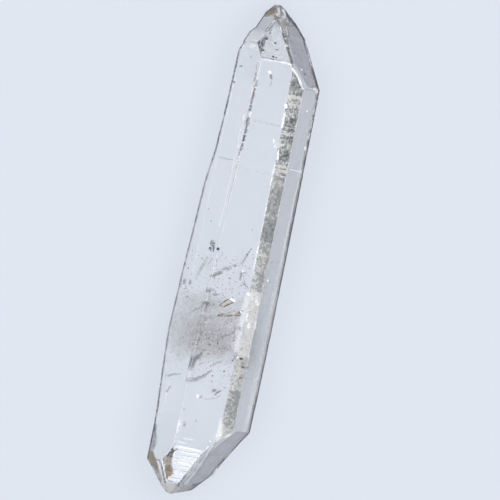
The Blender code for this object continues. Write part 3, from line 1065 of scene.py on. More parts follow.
class Inside:
    """Finds places inside the crystal that are seen, through its faces, at a place of the photograph."""

    def __init__(self):
        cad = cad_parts[NODE].data
        cad.calc_loop_triangles()
        corners = [v.co.copy() for v in cad.vertices]
        self.tree = BVHTree.FromPolygons(corners, [tuple(t.vertices) for t in cad.loop_triangles])

    def sight(self, u, v):
        """Where the line of sight goes into the crystal, which way it goes on, and how deep it can go."""
        start = Vector(AXIS) * MM + (ACROSS * u - ALONG * v) * PX + BACK * SIGHT_START
        entry, normal, _, _ = self.tree.ray_cast(start, -BACK)
        if entry is None:
            return None
        way = refracted(-BACK, normal)
        _, _, _, deep = self.tree.ray_cast(entry + way * SIGHT_STEP, way)
        return entry, way, deep or 0.0

    def point(self, u, v, share):
        """The place a share of the way down the line of sight, shallow where two faces would show it."""
        found = self.sight(u, v)
        if found is None:
            return None
        entry, way, deep = found
        seen_once = (u - LEFT_EDGE_U) * SHARE_PER_PX if u > LEFT_EDGE_U else LEFT_SHARE
        return entry + way * deep * min(share, max(seen_once, LEAST_SHARE))


def refracted(way, normal):
    """The way light goes on inside quartz."""
    bend = 1 / REFRACTIVE_INDEX
    facing = -way.dot(normal)
    inner = math.sqrt(1 - bend * bend * (1 - facing * facing))
    return (way * bend + normal * (bend * facing - inner)).normalized()


def add_blob(solid, place, sizes, rng, rough=0.3, detail=1):
    turn = Vector(rng.normal(size=3)).normalized().to_track_quat("Z", "Y").to_matrix().to_4x4()
    shape = Matrix.Translation(place) @ turn @ Matrix.Diagonal((*sizes, 1.0))
    made = bmesh.ops.create_icosphere(solid, subdivisions=detail, radius=1.0)
    for vert in made["verts"]:
        vert.co = shape @ (vert.co * (1.0 - rough * rng.random()))


def add_tube(solid, places, radii, sides=8):
    """A round thread through the places, with a radius at each, closed at both ends."""
    rings = []
    for i, place in enumerate(places):
        way = (places[min(i + 1, len(places) - 1)] - places[max(i - 1, 0)]).normalized()
        turn = way.to_track_quat("Z", "Y").to_matrix()
        ring = []
        for k in range(sides):
            angle = 2 * math.pi * k / sides
            spoke = turn @ Vector((math.cos(angle), math.sin(angle), 0.0))
            ring.append(solid.verts.new(place + spoke * radii[i]))
        rings.append(ring)
    for lower, upper in zip(rings, rings[1:]):
        for k in range(sides):
            j = (k + 1) % sides
            solid.faces.new((lower[k], lower[j], upper[j], upper[k]))
    solid.faces.new(reversed(rings[0]))
    solid.faces.new(rings[-1])


def finish_piece(solid, name, maker, *values):
    """Turns the solid into a piece of that name, with a material of that name from its maker."""
    mesh = bpy.data.meshes.new(name)
    bmesh.ops.recalc_face_normals(solid, faces=solid.faces)
    solid.to_mesh(mesh)
    solid.free()
    mesh.materials.append(maker(name, *values))
    piece = link(bpy.data.objects.new(name, mesh))
    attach(piece, "root")
    return piece


def plain_surface(graph, inputs):
    surface = graph.node("ShaderNodeBsdfPrincipled", None, inputs)
    graph.node("ShaderNodeOutputMaterial", None, {"Surface": surface})


# How finely the specks, the haze and the flakes are mottled, as features to the metre
SPECK_MOTTLE, HAZE_MOTTLE, FLAKE_MOTTLE = 6000.0, 2600.0, 4200.0


def speck_material(name, dark, pale):
    """Tiny fluid and mineral inclusions, mottled between two greys."""
    made = bpy.data.materials.new(name)
    graph = Graph(made)
    place = graph.node("ShaderNodeTexCoord", output="Object")
    mottle = noise_at(graph, place, SPECK_MOTTLE, 2.0).ramp(0.38, 0.62)
    tint = graph.blend(mottle, colour(dark), colour(pale))
    plain_surface(graph, {"Base Color": tint, "Roughness": 0.55 - mottle * 0.2})
    return made


# Dark specks: place, and half sizes across and along, all in photograph pixels, and the share of the depth
SPECKS = (
    ((-16.5, 2.3), (1.4, 2.5), 0.30),
    ((-42.2, 27.0), (1.1, 1.1), 0.30),
    ((-30.5, 14.8), (1.2, 1.0), 0.40),
    ((-15.5, 15.0), (0.8, 0.8), 0.50),
    ((0.2, 28.8), (1.1, 1.0), 0.40),
    ((38.2, 31.0), (0.8, 1.6), 0.20),
    ((13.2, 33.3), (1.1, 0.9), 0.50),
    ((12.8, 2.2), (0.9, 1.0), 0.40),
    ((13.5, 14.0), (0.8, 0.9), 0.40),
    ((18.5, 0.8), (0.9, 0.6), 0.30),
    ((15.5, -4.0), (1.0, 0.7), 0.30),
    ((-37.3, 55.0), (1.3, 1.1), 0.30),
    ((-34.0, -35.0), (0.8, 0.8), 0.50),
    ((-29.0, -23.5), (1.0, 0.9), 0.50),
    ((13.0, -23.0), (0.7, 0.4), 0.50),
    ((1.8, 94.5), (1.5, 1.0), 0.30),
    ((-23.0, 100.0), (1.1, 1.1), 0.40),
    ((17.2, 85.2), (1.2, 0.8), 0.30),
    ((17.6, 88.6), (1.0, 1.0), 0.30),
    ((27.5, 105.0), (2.4, 1.4), 0.12),
    ((26.5, 95.0), (2.0, 0.9), 0.12),
    ((19.5, 108.5), (1.3, 1.0), 0.30),
    ((31.0, 113.0), (1.8, 0.9), 0.12),
    ((34.5, 112.5), (0.9, 0.9), 0.12),
    ((30.5, 124.0), (1.6, 1.0), 0.12),
    ((24.0, 131.5), (1.0, 0.6), 0.15),
    ((-5.5, 107.0), (1.2, 1.0), 0.50),
    ((13.5, 120.8), (1.2, 1.0), 0.40),
    ((3.0, 127.5), (1.0, 0.8), 0.40),
    ((-6.0, 97.0), (1.6, 0.8), 0.40),
)

# How uneven the specks' shape is, and how finely their mesh is divided
SPECK_ROUGH, SPECK_DETAIL = 0.35, 2

# A dark cluster of fluid drops: its middle, half sizes, and how many. Then the drops' size in pixels, how
# long they are as a share of that, and the share of the depth they lie at.
CLUSTER = ((-22.9, 0.0), (2.8, 5.2), 66)
DROP_SIZE, DROP_LENGTH, DROP_DEPTH = (0.45, 1.0), 1.3, (0.3, 0.45)

# Loose dust: how many grains, from where to where across and along, in photograph pixels
LOOSE_DUST = (1200, (-45.0, 38.0), (4.0, 140.0))

# The cloud's own grains lie in this stretch, across and along. Then every grain's size in pixels, how long
# it is as a share of that, and the share of the depth it lies at.
CLOUD_DUST = ((-46.0, 30.0), (44.0, 124.0))
GRAIN_SIZE, GRAIN_LENGTH, GRAIN_DEPTH = (0.22, 0.62), (0.8, 1.5), (0.12, 0.6)

# Two greys of each kind of speck
DARK_SPECK_GREYS = (0.03, 0.03, 0.035), (0.16, 0.16, 0.18)
DUST_GREYS = (0.06, 0.057, 0.06), (0.34, 0.32, 0.31)
CRACK_DOT_GREYS = (0.04, 0.04, 0.045), (0.20, 0.20, 0.22)


class QUARTZ_OT_specks(bpy.types.Operator):
    """Scatter the dark specks, the dark cluster and the fine dust inside the crystal"""

    bl_idname = "quartz.specks"
    bl_label = "Specks and dust"

    def execute(self, context):
        inside = Inside()
        settings = context.scene.quartz_inclusions
        rng = np.random.default_rng(settings.seed)
        dark, dust = bmesh.new(), bmesh.new()
        for (u, v), (across, along), share in SPECKS:
            sizes = (across * PX, along * PX, min(across, along) * PX)
            add_blob(dark, inside.point(u, v, share), sizes, rng, SPECK_ROUGH, SPECK_DETAIL)
        (mid_u, mid_v), (half_u, half_v), count = CLUSTER
        for _ in range(count):
            u, v = mid_u + rng.uniform(-half_u, half_u), mid_v + rng.uniform(-half_v, half_v)
            size = rng.uniform(*DROP_SIZE) * PX
            place = inside.point(u, v, rng.uniform(*DROP_DEPTH))
            add_blob(dark, place, (size, size * DROP_LENGTH, size), rng)
        count, across, along = LOOSE_DUST
        places = [(rng.uniform(*across), rng.uniform(*along)) for _ in range(count)]
        while len(places) < count + settings.dust_count:
            u, v = (rng.uniform(*stretch) for stretch in CLOUD_DUST)
            if rng.random() < float(cloud_density(u, v)):
                places.append((u, v))
        for u, v in places:
            size = rng.uniform(*GRAIN_SIZE) * PX
            place = inside.point(u, v, rng.uniform(*GRAIN_DEPTH))
            if place is not None:
                add_blob(dust, place, (size, size * rng.uniform(*GRAIN_LENGTH), size), rng)
        finish_piece(dark, "dark_specks", speck_material, *DARK_SPECK_GREYS)
        finish_piece(dust, "fine_dust", speck_material, *DUST_GREYS)
        return {"FINISHED"}


# Healed cracks: how strong each shows, and its places across and along with its half width, in pixels of
# the photograph
CRACKS = (
    (0.75, ((-18.5, 31.0, 0.9), (-15.0, 28.5, 1.5), (-12.0, 26.3, 1.9), (-8.0, 23.3, 1.1))),
    (0.50, ((-9.0, 22.0, 1.0), (-6.0, 20.5, 1.8), (-3.0, 19.5, 1.7), (0.0, 17.5, 0.7))),
    (0.65, ((0.5, 15.8, 0.9), (2.5, 15.3, 1.3), (4.5, 15.3, 0.8))),
    (0.35, ((4.5, 15.2, 0.6), (9.0, 14.0, 0.6))),
    (0.45, ((8.8, 13.0, 0.9), (9.8, 11.0, 1.2), (11.0, 7.0, 1.0), (12.5, 4.0, 1.1), (15.0, -3.0, 0.8))),
    (0.65, ((10.3, 20.0, 0.9), (11.0, 21.5, 1.3), (11.5, 24.0, 0.7), (10.6, 27.0, 1.4), (11.0, 28.5, 0.8))),
    (0.40, ((11.5, 21.0, 0.6), (14.0, 20.5, 0.9), (17.0, 19.5, 0.5))),
    (0.55, ((13.5, 30.5, 0.6), (16.5, 32.0, 0.9), (20.5, 34.3, 1.1))),
    (
        0.32,
        (
            (-25.0, 12.0, 0.9), (-26.5, 16.0, 1.6), (-29.0, 23.0, 1.5), (-31.0, 29.0, 1.7),
            (-33.0, 36.0, 1.0),
        ),
    ),
    (0.30, ((-20.0, 12.0, 0.7), (-22.0, 17.0, 1.0), (-24.0, 20.0, 0.8))),
    (0.90, ((-43.5, 38.5, 1.0), (-43.0, 41.0, 1.6), (-44.0, 44.0, 1.0))),
    (0.80, ((-38.0, 38.0, 1.1), (-37.4, 41.0, 1.3), (-38.0, 44.0, 0.7))),
    (0.85, ((-46.6, 40.0, 1.0), (-46.8, 44.0, 1.2), (-46.0, 47.5, 1.0))),
    (0.50, ((-41.0, 44.0, 0.9), (-40.0, 49.0, 1.4), (-39.5, 51.0, 0.9))),
    (0.65, ((-18.6, 43.0, 0.8), (-18.2, 45.5, 1.5), (-16.5, 47.0, 0.8))),
    (0.50, ((-16.5, 41.0, 0.7), (-15.8, 43.0, 0.9))),
    (0.60, ((-13.5, 47.8, 0.9), (-11.5, 47.2, 1.3), (-8.0, 47.2, 1.0))),
    (0.45, ((-14.5, 44.5, 0.7), (-12.0, 42.0, 0.7))),
    (0.50, ((-11.5, 45.5, 0.7), (-10.0, 43.0, 0.8))),
    (0.40, ((-19.0, 57.0, 1.5), (-16.5, 58.0, 2.2), (-14.0, 57.0, 1.3))),
    (0.35, ((-34.0, 74.0, 0.6), (-31.0, 70.0, 0.7), (-24.0, 64.0, 0.9), (-18.0, 58.5, 1.0))),
    (0.30, ((-19.0, 80.0, 0.6), (-17.5, 76.0, 0.7), (-14.0, 72.0, 0.7), (-8.0, 68.5, 0.6))),
    (0.55, ((3.0, 88.5, 0.7), (8.0, 85.5, 0.9), (11.0, 84.2, 1.1), (14.5, 82.0, 0.8), (16.0, 79.0, 0.9))),
    (0.60, ((15.0, 78.0, 0.9), (18.5, 75.5, 1.1), (20.0, 75.0, 0.6), (21.5, 77.5, 0.9), (24.5, 79.5, 1.0))),
    (0.40, ((18.5, 98.0, 0.9), (22.0, 101.0, 1.0), (21.0, 106.0, 1.2), (19.5, 109.0, 0.9))),
    (
        0.48,
        (
            (-19.5, 137.0, 1.1), (-15.5, 136.0, 1.4), (-10.0, 133.5, 1.5), (-6.0, 129.5, 1.3),
            (1.0, 122.5, 0.9),
        ),
    ),
    (0.35, ((-19.0, 133.5, 0.7), (-14.0, 134.0, 0.9), (-10.0, 131.0, 1.0), (-7.0, 129.0, 0.7))),
    (0.50, ((-43.5, 137.0, 1.0), (-40.0, 136.5, 1.3), (-36.0, 134.0, 1.0), (-29.0, 132.3, 0.9))),
    (0.38, ((-1.0, 119.0, 0.9), (3.0, 115.0, 1.1), (7.5, 112.5, 1.3), (9.5, 110.0, 0.8))),
    (0.85, ((5.5, 143.0, 1.0), (8.0, 141.0, 1.5), (10.0, 140.5, 0.9))),
    (0.80, ((8.5, 146.0, 0.7), (12.0, 142.0, 0.9), (14.5, 139.8, 1.2))),
    (0.28, ((-7.0, 151.0, 0.5), (2.0, 151.5, 0.6), (10.0, 149.0, 0.6), (15.0, 145.0, 0.6))),
    (0.45, ((-20.2, 108.0, 0.6), (-20.4, 116.0, 0.8), (-19.6, 127.0, 0.6))),
    (
        0.75,
        (
            (-19.3, 124.0, 0.6), (-18.6, 119.5, 1.4), (-16.5, 114.5, 2.2), (-13.6, 109.5, 1.8),
            (-10.8, 103.5, 0.9),
        ),
    ),
)

# The share of the depth that a crack lies at, how long a step along it is, and how far its darkness
# reaches
CRACK_DEPTH = (0.25, 0.45)
CRACK_STEP_PX = 0.8
ACROSS_CRACK = (-1.0, -0.6, 0.0, 0.6, 1.0)
CRACK_WIDENED = 1.3

# How far a crack sways in pixels, how strong it is at its ends and how soon it is full, and how it varies
CRACK_SWAY = 0.25
CRACK_END, CRACK_END_RISE = 0.3, 2.0
CRACK_VARIES = (0.6, 1.3)

# The haze of the cracks: how much it covers, and its two colours
CRACK_HAZE = 0.62, (0.05, 0.042, 0.048), (0.16, 0.135, 0.145)

# Drops strewn along a crack: how many to the square pixel, how far they stray as a share of its half width
# and of the depth, their size in pixels, and how long they are as a share of that
DOTS_PER_AREA = 4.5
DOTS_STRAY, DOTS_DEPTH_STRAY = 0.7, 0.02
DOT_SIZE, DOT_LENGTH = (0.22, 0.5), (0.8, 1.8)


class QUARTZ_OT_cracks(bpy.types.Operator):
    """Make the healed cracks: thin dark wisps that fade out at their sides"""

    bl_idname = "quartz.cracks"
    bl_label = "Healed cracks"

    def execute(self, context):
        inside = Inside()
        rng = np.random.default_rng(context.scene.quartz_inclusions.seed + 2)
        wisps = bmesh.new()
        fade = wisps.verts.layers.float.new("haze")
        dots = bmesh.new()
        for strength, places in CRACKS:
            depth = rng.uniform(*CRACK_DEPTH)
            add_wisp(wisps, fade, inside, strength, np.array(places), depth, rng)
            add_dots(dots, inside, strength, np.array(places), depth, rng)
        finish_piece(wisps, "healed_cracks", haze_material, *CRACK_HAZE)
        finish_piece(dots, "crack_dots", speck_material, *CRACK_DOT_GREYS)
        return {"FINISHED"}


def marks_along(path):
    """How far along the path each of its places is."""
    return np.concatenate([[0.0], np.cumsum(np.linalg.norm(np.diff(path, axis=0), axis=1))])


def place_at(at, marks, path):
    return np.array([np.interp(at, marks, path[:, 0]), np.interp(at, marks, path[:, 1])])


def add_dots(dots, inside, strength, places, depth, rng):
    """Small drops strewn along a healed crack."""
    path, halves = places[:, :2], places[:, 2]
    marks = marks_along(path)
    for _ in range(int(marks[-1] * halves.mean() * strength * DOTS_PER_AREA) + 1):
        at = rng.uniform(0.0, marks[-1])
        half = np.interp(at, marks, halves)
        u, v = (along + rng.normal() * half * DOTS_STRAY for along in place_at(at, marks, path))
        place = inside.point(u, v, depth + rng.normal() * DOTS_DEPTH_STRAY)
        size = rng.uniform(*DOT_SIZE) * PX
        if place is not None:
            add_blob(dots, place, (size, size * rng.uniform(*DOT_LENGTH), size), rng)


def add_wisp(wisps, fade, inside, strength, places, depth, rng):
    """A ribbon along the places, strongest along its middle."""
    path, halves = places[:, :2], places[:, 2]
    marks = marks_along(path)
    steps = np.linspace(0.0, marks[-1], max(3, int(marks[-1] / CRACK_STEP_PX)))
    rows = []
    for at in steps:
        after = place_at(min(at + CRACK_STEP_PX, marks[-1]), marks, path)
        before = place_at(max(at - CRACK_STEP_PX, 0.0), marks, path)
        way = after - before
        side = np.array([-way[1], way[0]]) / np.linalg.norm(way)
        half = np.interp(at, marks, halves)
        sway = rng.normal() * CRACK_SWAY
        ends = min(1.0, CRACK_END + CRACK_END_RISE * min(at, marks[-1] - at) / marks[-1])
        row = []
        for share in ACROSS_CRACK:
            u, v = place_at(at, marks, path) + side * (share * CRACK_WIDENED * half + sway)
            place = inside.point(u, v, depth)
            if place is None:
                return
            vert = wisps.verts.new(place)
            vert[fade] = strength * ends * max(0.0, 1.0 - share * share) * rng.uniform(*CRACK_VARIES)
            row.append(vert)
        rows.append(row)
    for lower, upper in zip(rows, rows[1:]):
        for k in range(len(ACROSS_CRACK) - 1):
            wisps.faces.new((lower[k], lower[k + 1], upper[k + 1], upper[k]))


# The smoky cloud: an even part, given by where it fades in and out across and along, and denser and
# clearer spots, each with its middle, half sizes and how much it adds, all in photograph pixels, and how
# fast they fall off
CLOUD_ACROSS = (-58.0, -34.0, 12.0, 32.0)
CLOUD_ALONG = (42.0, 62.0, 101.0, 118.0)
CLOUD_EVEN = 0.56
CLOUD_SPOTS = (
    ((-27.0, 88.0), (13.0, 14.0), 0.36),
    ((2.0, 89.0), (18.0, 13.0), 0.55),
    ((6.0, 98.0), (11.0, 8.0), 0.20),
    ((-14.0, 78.0), (4.0, 6.0), -0.45),
    ((-8.0, 66.0), (6.0, 8.0), -0.25),
    ((-34.0, 112.0), (10.0, 12.0), 0.25),
    ((-46.0, 86.0), (6.0, 12.0), 0.25),
)
SPOT_FALL = 1.3

# The cloud's sheets: from where to where across and along they are made, the step between places, and the
# share of the depth that each lies at
CLOUD_GRID = ((-53.0, 46.0), (36.0, 140.0))
CLOUD_STEP_PX = 1.5
CLOUD_LEVELS = (0.25, 0.42, 0.58, 0.74)

# How a sheet waves, as a share of the depth: how much and over how many pixels, and how it tilts along the
# crystal about one place. The noise moves on from sheet to sheet, and a sheet keeps off both faces.
SHEET_WAVE, WAVE_LENGTH, NEXT_SHEET = 0.07, 20.0, 60.0
SHEET_TILT, TILT_ABOUT = 0.0016, 88.0
LEAST_LEVEL, MOST_LEVEL = 0.12, 0.88

# Wisps in the cloud: the size of their features in pixels and how strong, the same for all sheets. Then
# each sheet's own: how much finer than its waves and how strong, and how much all of them change the haze
SHARED_WISPS = ((9.0, 0.6), (3.6, 0.5))
OWN_WISPS = (3.0, 0.4)
WISPS_CHANGE = 0.75

# The haze fades towards a face, and where the crystal is shallow. It is left out where it is shallower
# still, where a cell is longer than a limit, and where there is next to nothing of it. The lengths are in
# metres.
FADES_BY_FACE = 4.0
SHALLOW, TOO_SHALLOW = 0.0016, 0.0006
LONGEST_CELL = 0.0003
LEAST_HAZE = 0.01

# The haze of the sheets: how much it covers, and its two colours
CLOUD_HAZE = 0.115, (0.42, 0.37, 0.345), (0.58, 0.52, 0.47)


def cloud_density(u, v):
    """How dense the cloud is at a place of the photograph."""
    low, full, fading, gone = CLOUD_ACROSS
    across = smooth(low, full, u) * smooth(gone, fading, u)
    low, full, fading, gone = CLOUD_ALONG
    total = CLOUD_EVEN * across * smooth(low, full, v) * smooth(gone, fading, v)
    for (mid_u, mid_v), (half_u, half_v), more in CLOUD_SPOTS:
        off = ((u - mid_u) / half_u) ** 2 + ((v - mid_v) / half_v) ** 2
        total += more * math.exp(-SPOT_FALL * off)
    return max(total, 0.0)


class QUARTZ_OT_cloud(bpy.types.Operator):
    """Make the smoky cloud: a few soft, uneven sheets inside the crystal"""

    bl_idname = "quartz.cloud"
    bl_label = "Smoky cloud"

    def execute(self, context):
        inside = Inside()
        us, vs = (np.arange(*stretch, CLOUD_STEP_PX) for stretch in CLOUD_GRID)
        sights = {(i, j): inside.sight(u, v) for i, u in enumerate(us) for j, v in enumerate(vs)}
        sheets = bmesh.new()
        fade = sheets.verts.layers.float.new("haze")
        for k, level in enumerate(CLOUD_LEVELS):
            add_sheet(sheets, fade, sights, us, vs, level, k)
        bmesh.ops.delete(sheets, geom=[v for v in sheets.verts if not v.link_faces], context="VERTS")
        finish_piece(sheets, "smoky_sheets", haze_material, *CLOUD_HAZE)
        return {"FINISHED"}


def add_sheet(sheets, fade, sights, us, vs, level, k):
    """One sheet of the cloud, at about the same share of the depth all over."""
    grid = {}
    for (i, j), found in sights.items():
        if found is None or found[2] < TOO_SHALLOW:
            continue
        entry, way, deep = found
        spot = Vector((us[i], vs[j], k * NEXT_SHEET)) / WAVE_LENGTH
        share = level + SHEET_WAVE * noise.noise(spot) + (vs[j] - TILT_ABOUT) * SHEET_TILT
        share = min(max(share, LEAST_LEVEL), MOST_LEVEL)
        shared_spot = Vector((us[i], vs[j], 0.0))
        wisps = sum(much * noise.noise(shared_spot / size) for size, much in SHARED_WISPS)
        finer, much = OWN_WISPS
        wisps += much * noise.noise(spot * finer)
        margin = min(1.0, FADES_BY_FACE * min(share, 1.0 - share, deep / SHALLOW))
        vert = sheets.verts.new(entry + way * deep * share)
        vert[fade] = cloud_density(us[i], vs[j]) * max(0.0, 1.0 + WISPS_CHANGE * wisps) * margin
        grid[i, j] = vert
    for i, j in grid:
        cell = [grid.get(key) for key in ((i, j), (i + 1, j), (i + 1, j + 1), (i, j + 1))]
        if None in cell:
            continue
        if max((a.co - b.co).length for a, b in zip(cell, cell[1:])) > LONGEST_CELL:
            continue
        if max(c[fade] for c in cell) > LEAST_HAZE:
            sheets.faces.new(cell)


def haze_material(name, cover, dark, pale):
    """A soft haze of inclusions too small to tell apart, as thick as the mesh's own haze values say."""
    made = bpy.data.materials.new(name)
    graph = Graph(made)
    place = graph.node("ShaderNodeTexCoord", output="Object")
    wisps = noise_at(graph, place, HAZE_MOTTLE, 4.0)
    tint = graph.blend(wisps.ramp(0.35, 0.65), colour(dark), colour(pale))
    veil = (attribute(graph, "haze") * cover * (0.5 + wisps)).at_most(1.0)
    plain_surface(graph, {"Base Color": tint, "Roughness": 0.9, "Alpha": veil})
    return made


# Two small flakes, in photograph pixels: their outlines, dark threads along their rims with a radius at
# each place, rusty spots and bright ends, as middles and half sizes
FLAKE_DEPTH = 0.28
FLAKE_PLATES = (
    (
        (-4.6, 57.0), (-0.5, 52.5), (3.4, 49.4), (8.8, 50.2),
        (9.6, 51.2), (4.5, 56.0), (0.5, 58.8), (-3.0, 58.6),
    ),
    (
        (-4.2, 66.6), (-1.0, 64.6), (6.0, 61.6), (15.4, 59.6), (16.8, 58.0),
        (19.2, 60.8), (17.6, 63.4), (9.0, 64.6), (3.0, 67.6),
    ),
)
FLAKE_RIMS = (
    ((-4.0, 56.4, 0.3), (-1.0, 53.2, 0.5), (1.5, 50.8, 0.6), (3.6, 49.4, 0.3)),
    ((9.4, 51.2, 0.3), (7.4, 52.6, 0.6), (4.0, 54.8, 0.7), (1.6, 56.6, 0.5), (0.4, 58.2, 0.3)),
    (
        (3.4, 67.8, 0.3), (4.6, 65.8, 0.4), (9.0, 65.2, 0.6),
        (14.0, 63.8, 0.5), (18.0, 63.2, 0.5), (19.4, 61.4, 0.4),
    ),
    ((16.2, 59.0, 0.3), (16.3, 60.6, 0.6), (16.2, 62.2, 0.4)),
    ((18.2, 54.8, 0.3), (19.4, 57.2, 0.5), (20.2, 58.0, 0.6), (19.6, 59.4, 0.4)),
)
FLAKE_RUST = (((-1.6, 67.2), (2.8, 0.9)), ((-2.6, 56.8), (1.7, 0.5)), ((1.2, 65.6), (1.2, 0.7)))
# The glints are white blobs where the flakes catch the light: painted highlights
FLAKE_GLINTS = (((7.6, 49.4), (2.1, 0.8)), ((18.0, 59.6), (0.8, 0.9)), ((18.8, 56.4), (0.9, 0.6)))

# How much deeper than the rims the plates lie and how much less deep the spots do, as shares of the depth,
# and the spots' half thickness and roughness in pixels
PLATES_DEEPER, SPOTS_NEARER = 0.02, 0.03
SPOT_HALF_THICKNESS, SPOT_ROUGH = 0.4, 0.08

# What each part of the flakes covers, and its two colours
PLATE_FINISH = 0.62, (0.80, 0.75, 0.64), (0.55, 0.49, 0.40)
RIM_FINISH = 0.9, (0.15, 0.12, 0.105), (0.28, 0.235, 0.18)
RUST_FINISH = 0.9, (0.20, 0.15, 0.09), (0.42, 0.33, 0.20)
GLINT_FINISH = 1.0, (0.97, 0.96, 0.93), (1.0, 0.99, 0.97)


class QUARTZ_OT_flakes(bpy.types.Operator):
    """Make the two pale flakes inside the crystal, with their dark rims, rusty spots and bright ends"""

    bl_idname = "quartz.flakes"
    bl_label = "Flakes"

    def execute(self, context):
        inside = Inside()
        rng = np.random.default_rng(context.scene.quartz_inclusions.seed + 3)
        plates, rims, rust, glints = (bmesh.new() for _ in range(4))
        for outline in FLAKE_PLATES:
            places = [inside.point(u, v, FLAKE_DEPTH + PLATES_DEEPER) for u, v in outline]
            plates.faces.new([plates.verts.new(place) for place in places])
        bmesh.ops.triangulate(plates, faces=plates.faces[:])
        bmesh.ops.subdivide_edges(plates, edges=plates.edges[:], cuts=3, use_grid_fill=True)
        for points in FLAKE_RIMS:
            places = [inside.point(u, v, FLAKE_DEPTH) for u, v, _ in points]
            add_tube(rims, places, [radius * PX for _, _, radius in points])
        for solid, spots in ((rust, FLAKE_RUST), (glints, FLAKE_GLINTS)):
            for (u, v), (across, along) in spots:
                level = Matrix.Translation(inside.point(u, v, FLAKE_DEPTH - SPOTS_NEARER))
                sizes = Matrix.Diagonal((across * PX, along * PX, SPOT_HALF_THICKNESS * PX, 1.0))
                made = bmesh.ops.create_icosphere(solid, subdivisions=2, radius=1.0, matrix=level @ sizes)
                for vert in made["verts"]:
                    vert.co += Vector(rng.normal(size=3)) * SPOT_ROUGH * PX
        finish_piece(plates, "flake_plates", flake_material, *PLATE_FINISH)
        finish_piece(rims, "flake_rims", flake_material, *RIM_FINISH)
        finish_piece(rust, "flake_rust", flake_material, *RUST_FINISH)
        finish_piece(glints, "flake_glints", flake_material, *GLINT_FINISH)
        return {"FINISHED"}


def flake_material(name, cover, first, second):
    made = bpy.data.materials.new(name)
    graph = Graph(made)
    place = graph.node("ShaderNodeTexCoord", output="Object")
    patch = noise_at(graph, place, FLAKE_MOTTLE, 3.0).ramp(0.4, 0.62)
    tint = graph.blend(patch, colour(first), colour(second))
    veil = (cover + (patch - 0.5) * 0.25).at_most(1.0)
    plain_surface(graph, {"Base Color": tint, "Roughness": 0.35, "Alpha": veil})
    return made


class QUARTZ_OT_studio(bpy.types.Operator):
    """Set up the floor, the light and the camera"""

    bl_idname = "quartz.studio"
    bl_label = "Studio"

    def execute(self, context):
        settings = context.scene.quartz_studio
        make_floor(settings)
        make_light()
        make_camera(settings)
        context.scene.view_settings.view_transform = "Standard"
        context.scene.cycles.max_bounces = LIGHT_BOUNCES
        context.scene.cycles.glossy_bounces = LIGHT_BOUNCES
        context.scene.cycles.transmission_bounces = LIGHT_BOUNCES
        context.scene.cycles.transparent_max_bounces = LIGHT_BOUNCES
        return {"FINISHED"}


# The floor shines by itself, as a lit backdrop does behind clear crystal, and takes little light from
# above
FLOOR_UNLIT = (0.080, 0.084, 0.090)
FLOOR_GLOW = 0.78


def make_floor(settings):
    half = settings.floor_size / 2
    mesh = bpy.data.meshes.new("floor")
    corners = [(-half, -half), (half, -half), (half, half), (-half, half)]
    mesh.from_pydata([(x, y, -settings.floor_gap) for x, y in corners], [], [(0, 1, 2, 3)])
    made = bpy.data.materials.new("pale_floor")
    graph = Graph(made)
    plain_surface(
        graph,
        {
            "Base Color": colour(FLOOR_UNLIT),
            "Roughness": 0.9,
            "Emission Color": colour(settings.floor_colour),
            "Emission Strength": FLOOR_GLOW,
        },
    )
    mesh.materials.append(made)
    floor = link(bpy.data.objects.new("floor", mesh))


# The light round the crystal, from the floor's level up: a dim room, a bright ring, and a dull patch
# overhead. The heights are the upward part of the direction, from where each fades in to where it is full,
# or out again.
ROOM_RISE = (0.0, 0.75)
RING_IN, RING_OUT = (0.72, 0.80), (0.93, 0.965)
OVERHEAD_RISE = (0.975, 0.985)
ROOM_LOW, ROOM_HIGH = (0.10, 0.11, 0.13), (0.45, 0.47, 0.50)
RING_COLOUR = (5.0, 5.05, 5.1)
OVERHEAD_COLOUR = (0.75, 0.77, 0.82)


def make_light():
    world = bpy.data.worlds.new("studio")
    bpy.context.scene.world = world
    graph = Graph(world)
    place = graph.node("ShaderNodeTexCoord", output=0)
    upward = graph.node("ShaderNodeSeparateXYZ", None, {0: place}, output=2)
    shade = graph.blend(upward.ramp(*ROOM_RISE), colour(ROOM_LOW), colour(ROOM_HIGH))
    ring = upward.ramp(*RING_IN) * (1.0 - upward.ramp(*RING_OUT))
    shade = graph.blend(ring, shade, colour(RING_COLOUR))
    shade = graph.blend(upward.ramp(*OVERHEAD_RISE), shade, colour(OVERHEAD_COLOUR))
    sky = graph.node("ShaderNodeBackground", None, {"Color": shade, "Strength": 1.0})
    graph.node("ShaderNodeOutputWorld", None, {"Surface": sky})


# The nearest and the furthest that the camera sees, in metres
CLIP_NEAR, CLIP_FAR = 0.01, 10.0


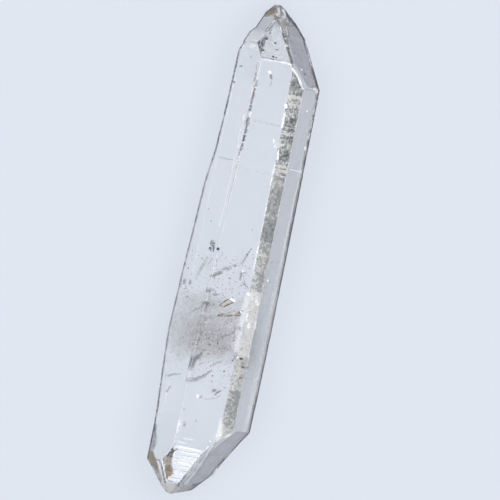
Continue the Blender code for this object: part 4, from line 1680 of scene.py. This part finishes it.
def make_camera(settings):
    right = ACROSS * math.cos(LEAN_IN_PHOTO) + ALONG * math.sin(LEAN_IN_PHOTO)
    up = ALONG * math.cos(LEAN_IN_PHOTO) - ACROSS * math.sin(LEAN_IN_PHOTO)
    right_px, down_px = (PHOTO_SIZE / 2 - middle for middle in AXIS_MIDDLE_PX)
    target = Vector(AXIS) * MM + right * right_px * PX - up * down_px * PX
    data = bpy.data.cameras.new("camera")
    data.lens = data.sensor_width * settings.camera_distance / (PHOTO_SIZE * PX)
    data.clip_start = CLIP_NEAR
    data.clip_end = CLIP_FAR
    camera = link(bpy.data.objects.new("camera", data))
    turn = Matrix((right, up, BACK)).transposed().to_4x4()
    camera.matrix_world = Matrix.Translation(target + BACK * settings.camera_distance) @ turn
    bpy.context.scene.camera = camera


MAKERS = (
    QUARTZ_OT_studio,
    QUARTZ_OT_body,
    QUARTZ_OT_specks,
    QUARTZ_OT_cracks,
    QUARTZ_OT_cloud,
    QUARTZ_OT_flakes,
)


class QUARTZ_PT_crystal(bpy.types.Panel):
    """Lists what makes each piece of the crystal, and the settings that they read"""

    bl_idname = "QUARTZ_PT_crystal"
    bl_label = "Quartz crystal"
    bl_space_type = "VIEW_3D"
    bl_region_type = "UI"
    bl_category = "Quartz"

    def draw(self, context):
        scene = context.scene
        for settings in (scene.quartz_studio, scene.quartz_body, scene.quartz_inclusions):
            for name in settings.bl_rna.properties.keys():
                if name not in ("rna_type", "name"):
                    self.layout.prop(settings, name)
        for maker in MAKERS:
            self.layout.operator(maker.bl_idname)


CLASSES = (StudioSettings, BodySettings, InclusionSettings, *MAKERS, QUARTZ_PT_crystal)


def register():
    for made in CLASSES:
        bpy.utils.register_class(made)
    bpy.types.Scene.quartz_studio = PointerProperty(type=StudioSettings)
    bpy.types.Scene.quartz_body = PointerProperty(type=BodySettings)
    bpy.types.Scene.quartz_inclusions = PointerProperty(type=InclusionSettings)


def unregister():
    del bpy.types.Scene.quartz_inclusions
    del bpy.types.Scene.quartz_body
    del bpy.types.Scene.quartz_studio
    for made in reversed(CLASSES):
        bpy.utils.unregister_class(made)


def main():
    register()
    bpy.ops.quartz.studio()
    bpy.ops.quartz.body()
    bpy.ops.quartz.specks()
    bpy.ops.quartz.cracks()
    bpy.ops.quartz.cloud()
    bpy.ops.quartz.flakes()


if __name__ == "__main__":
    main()
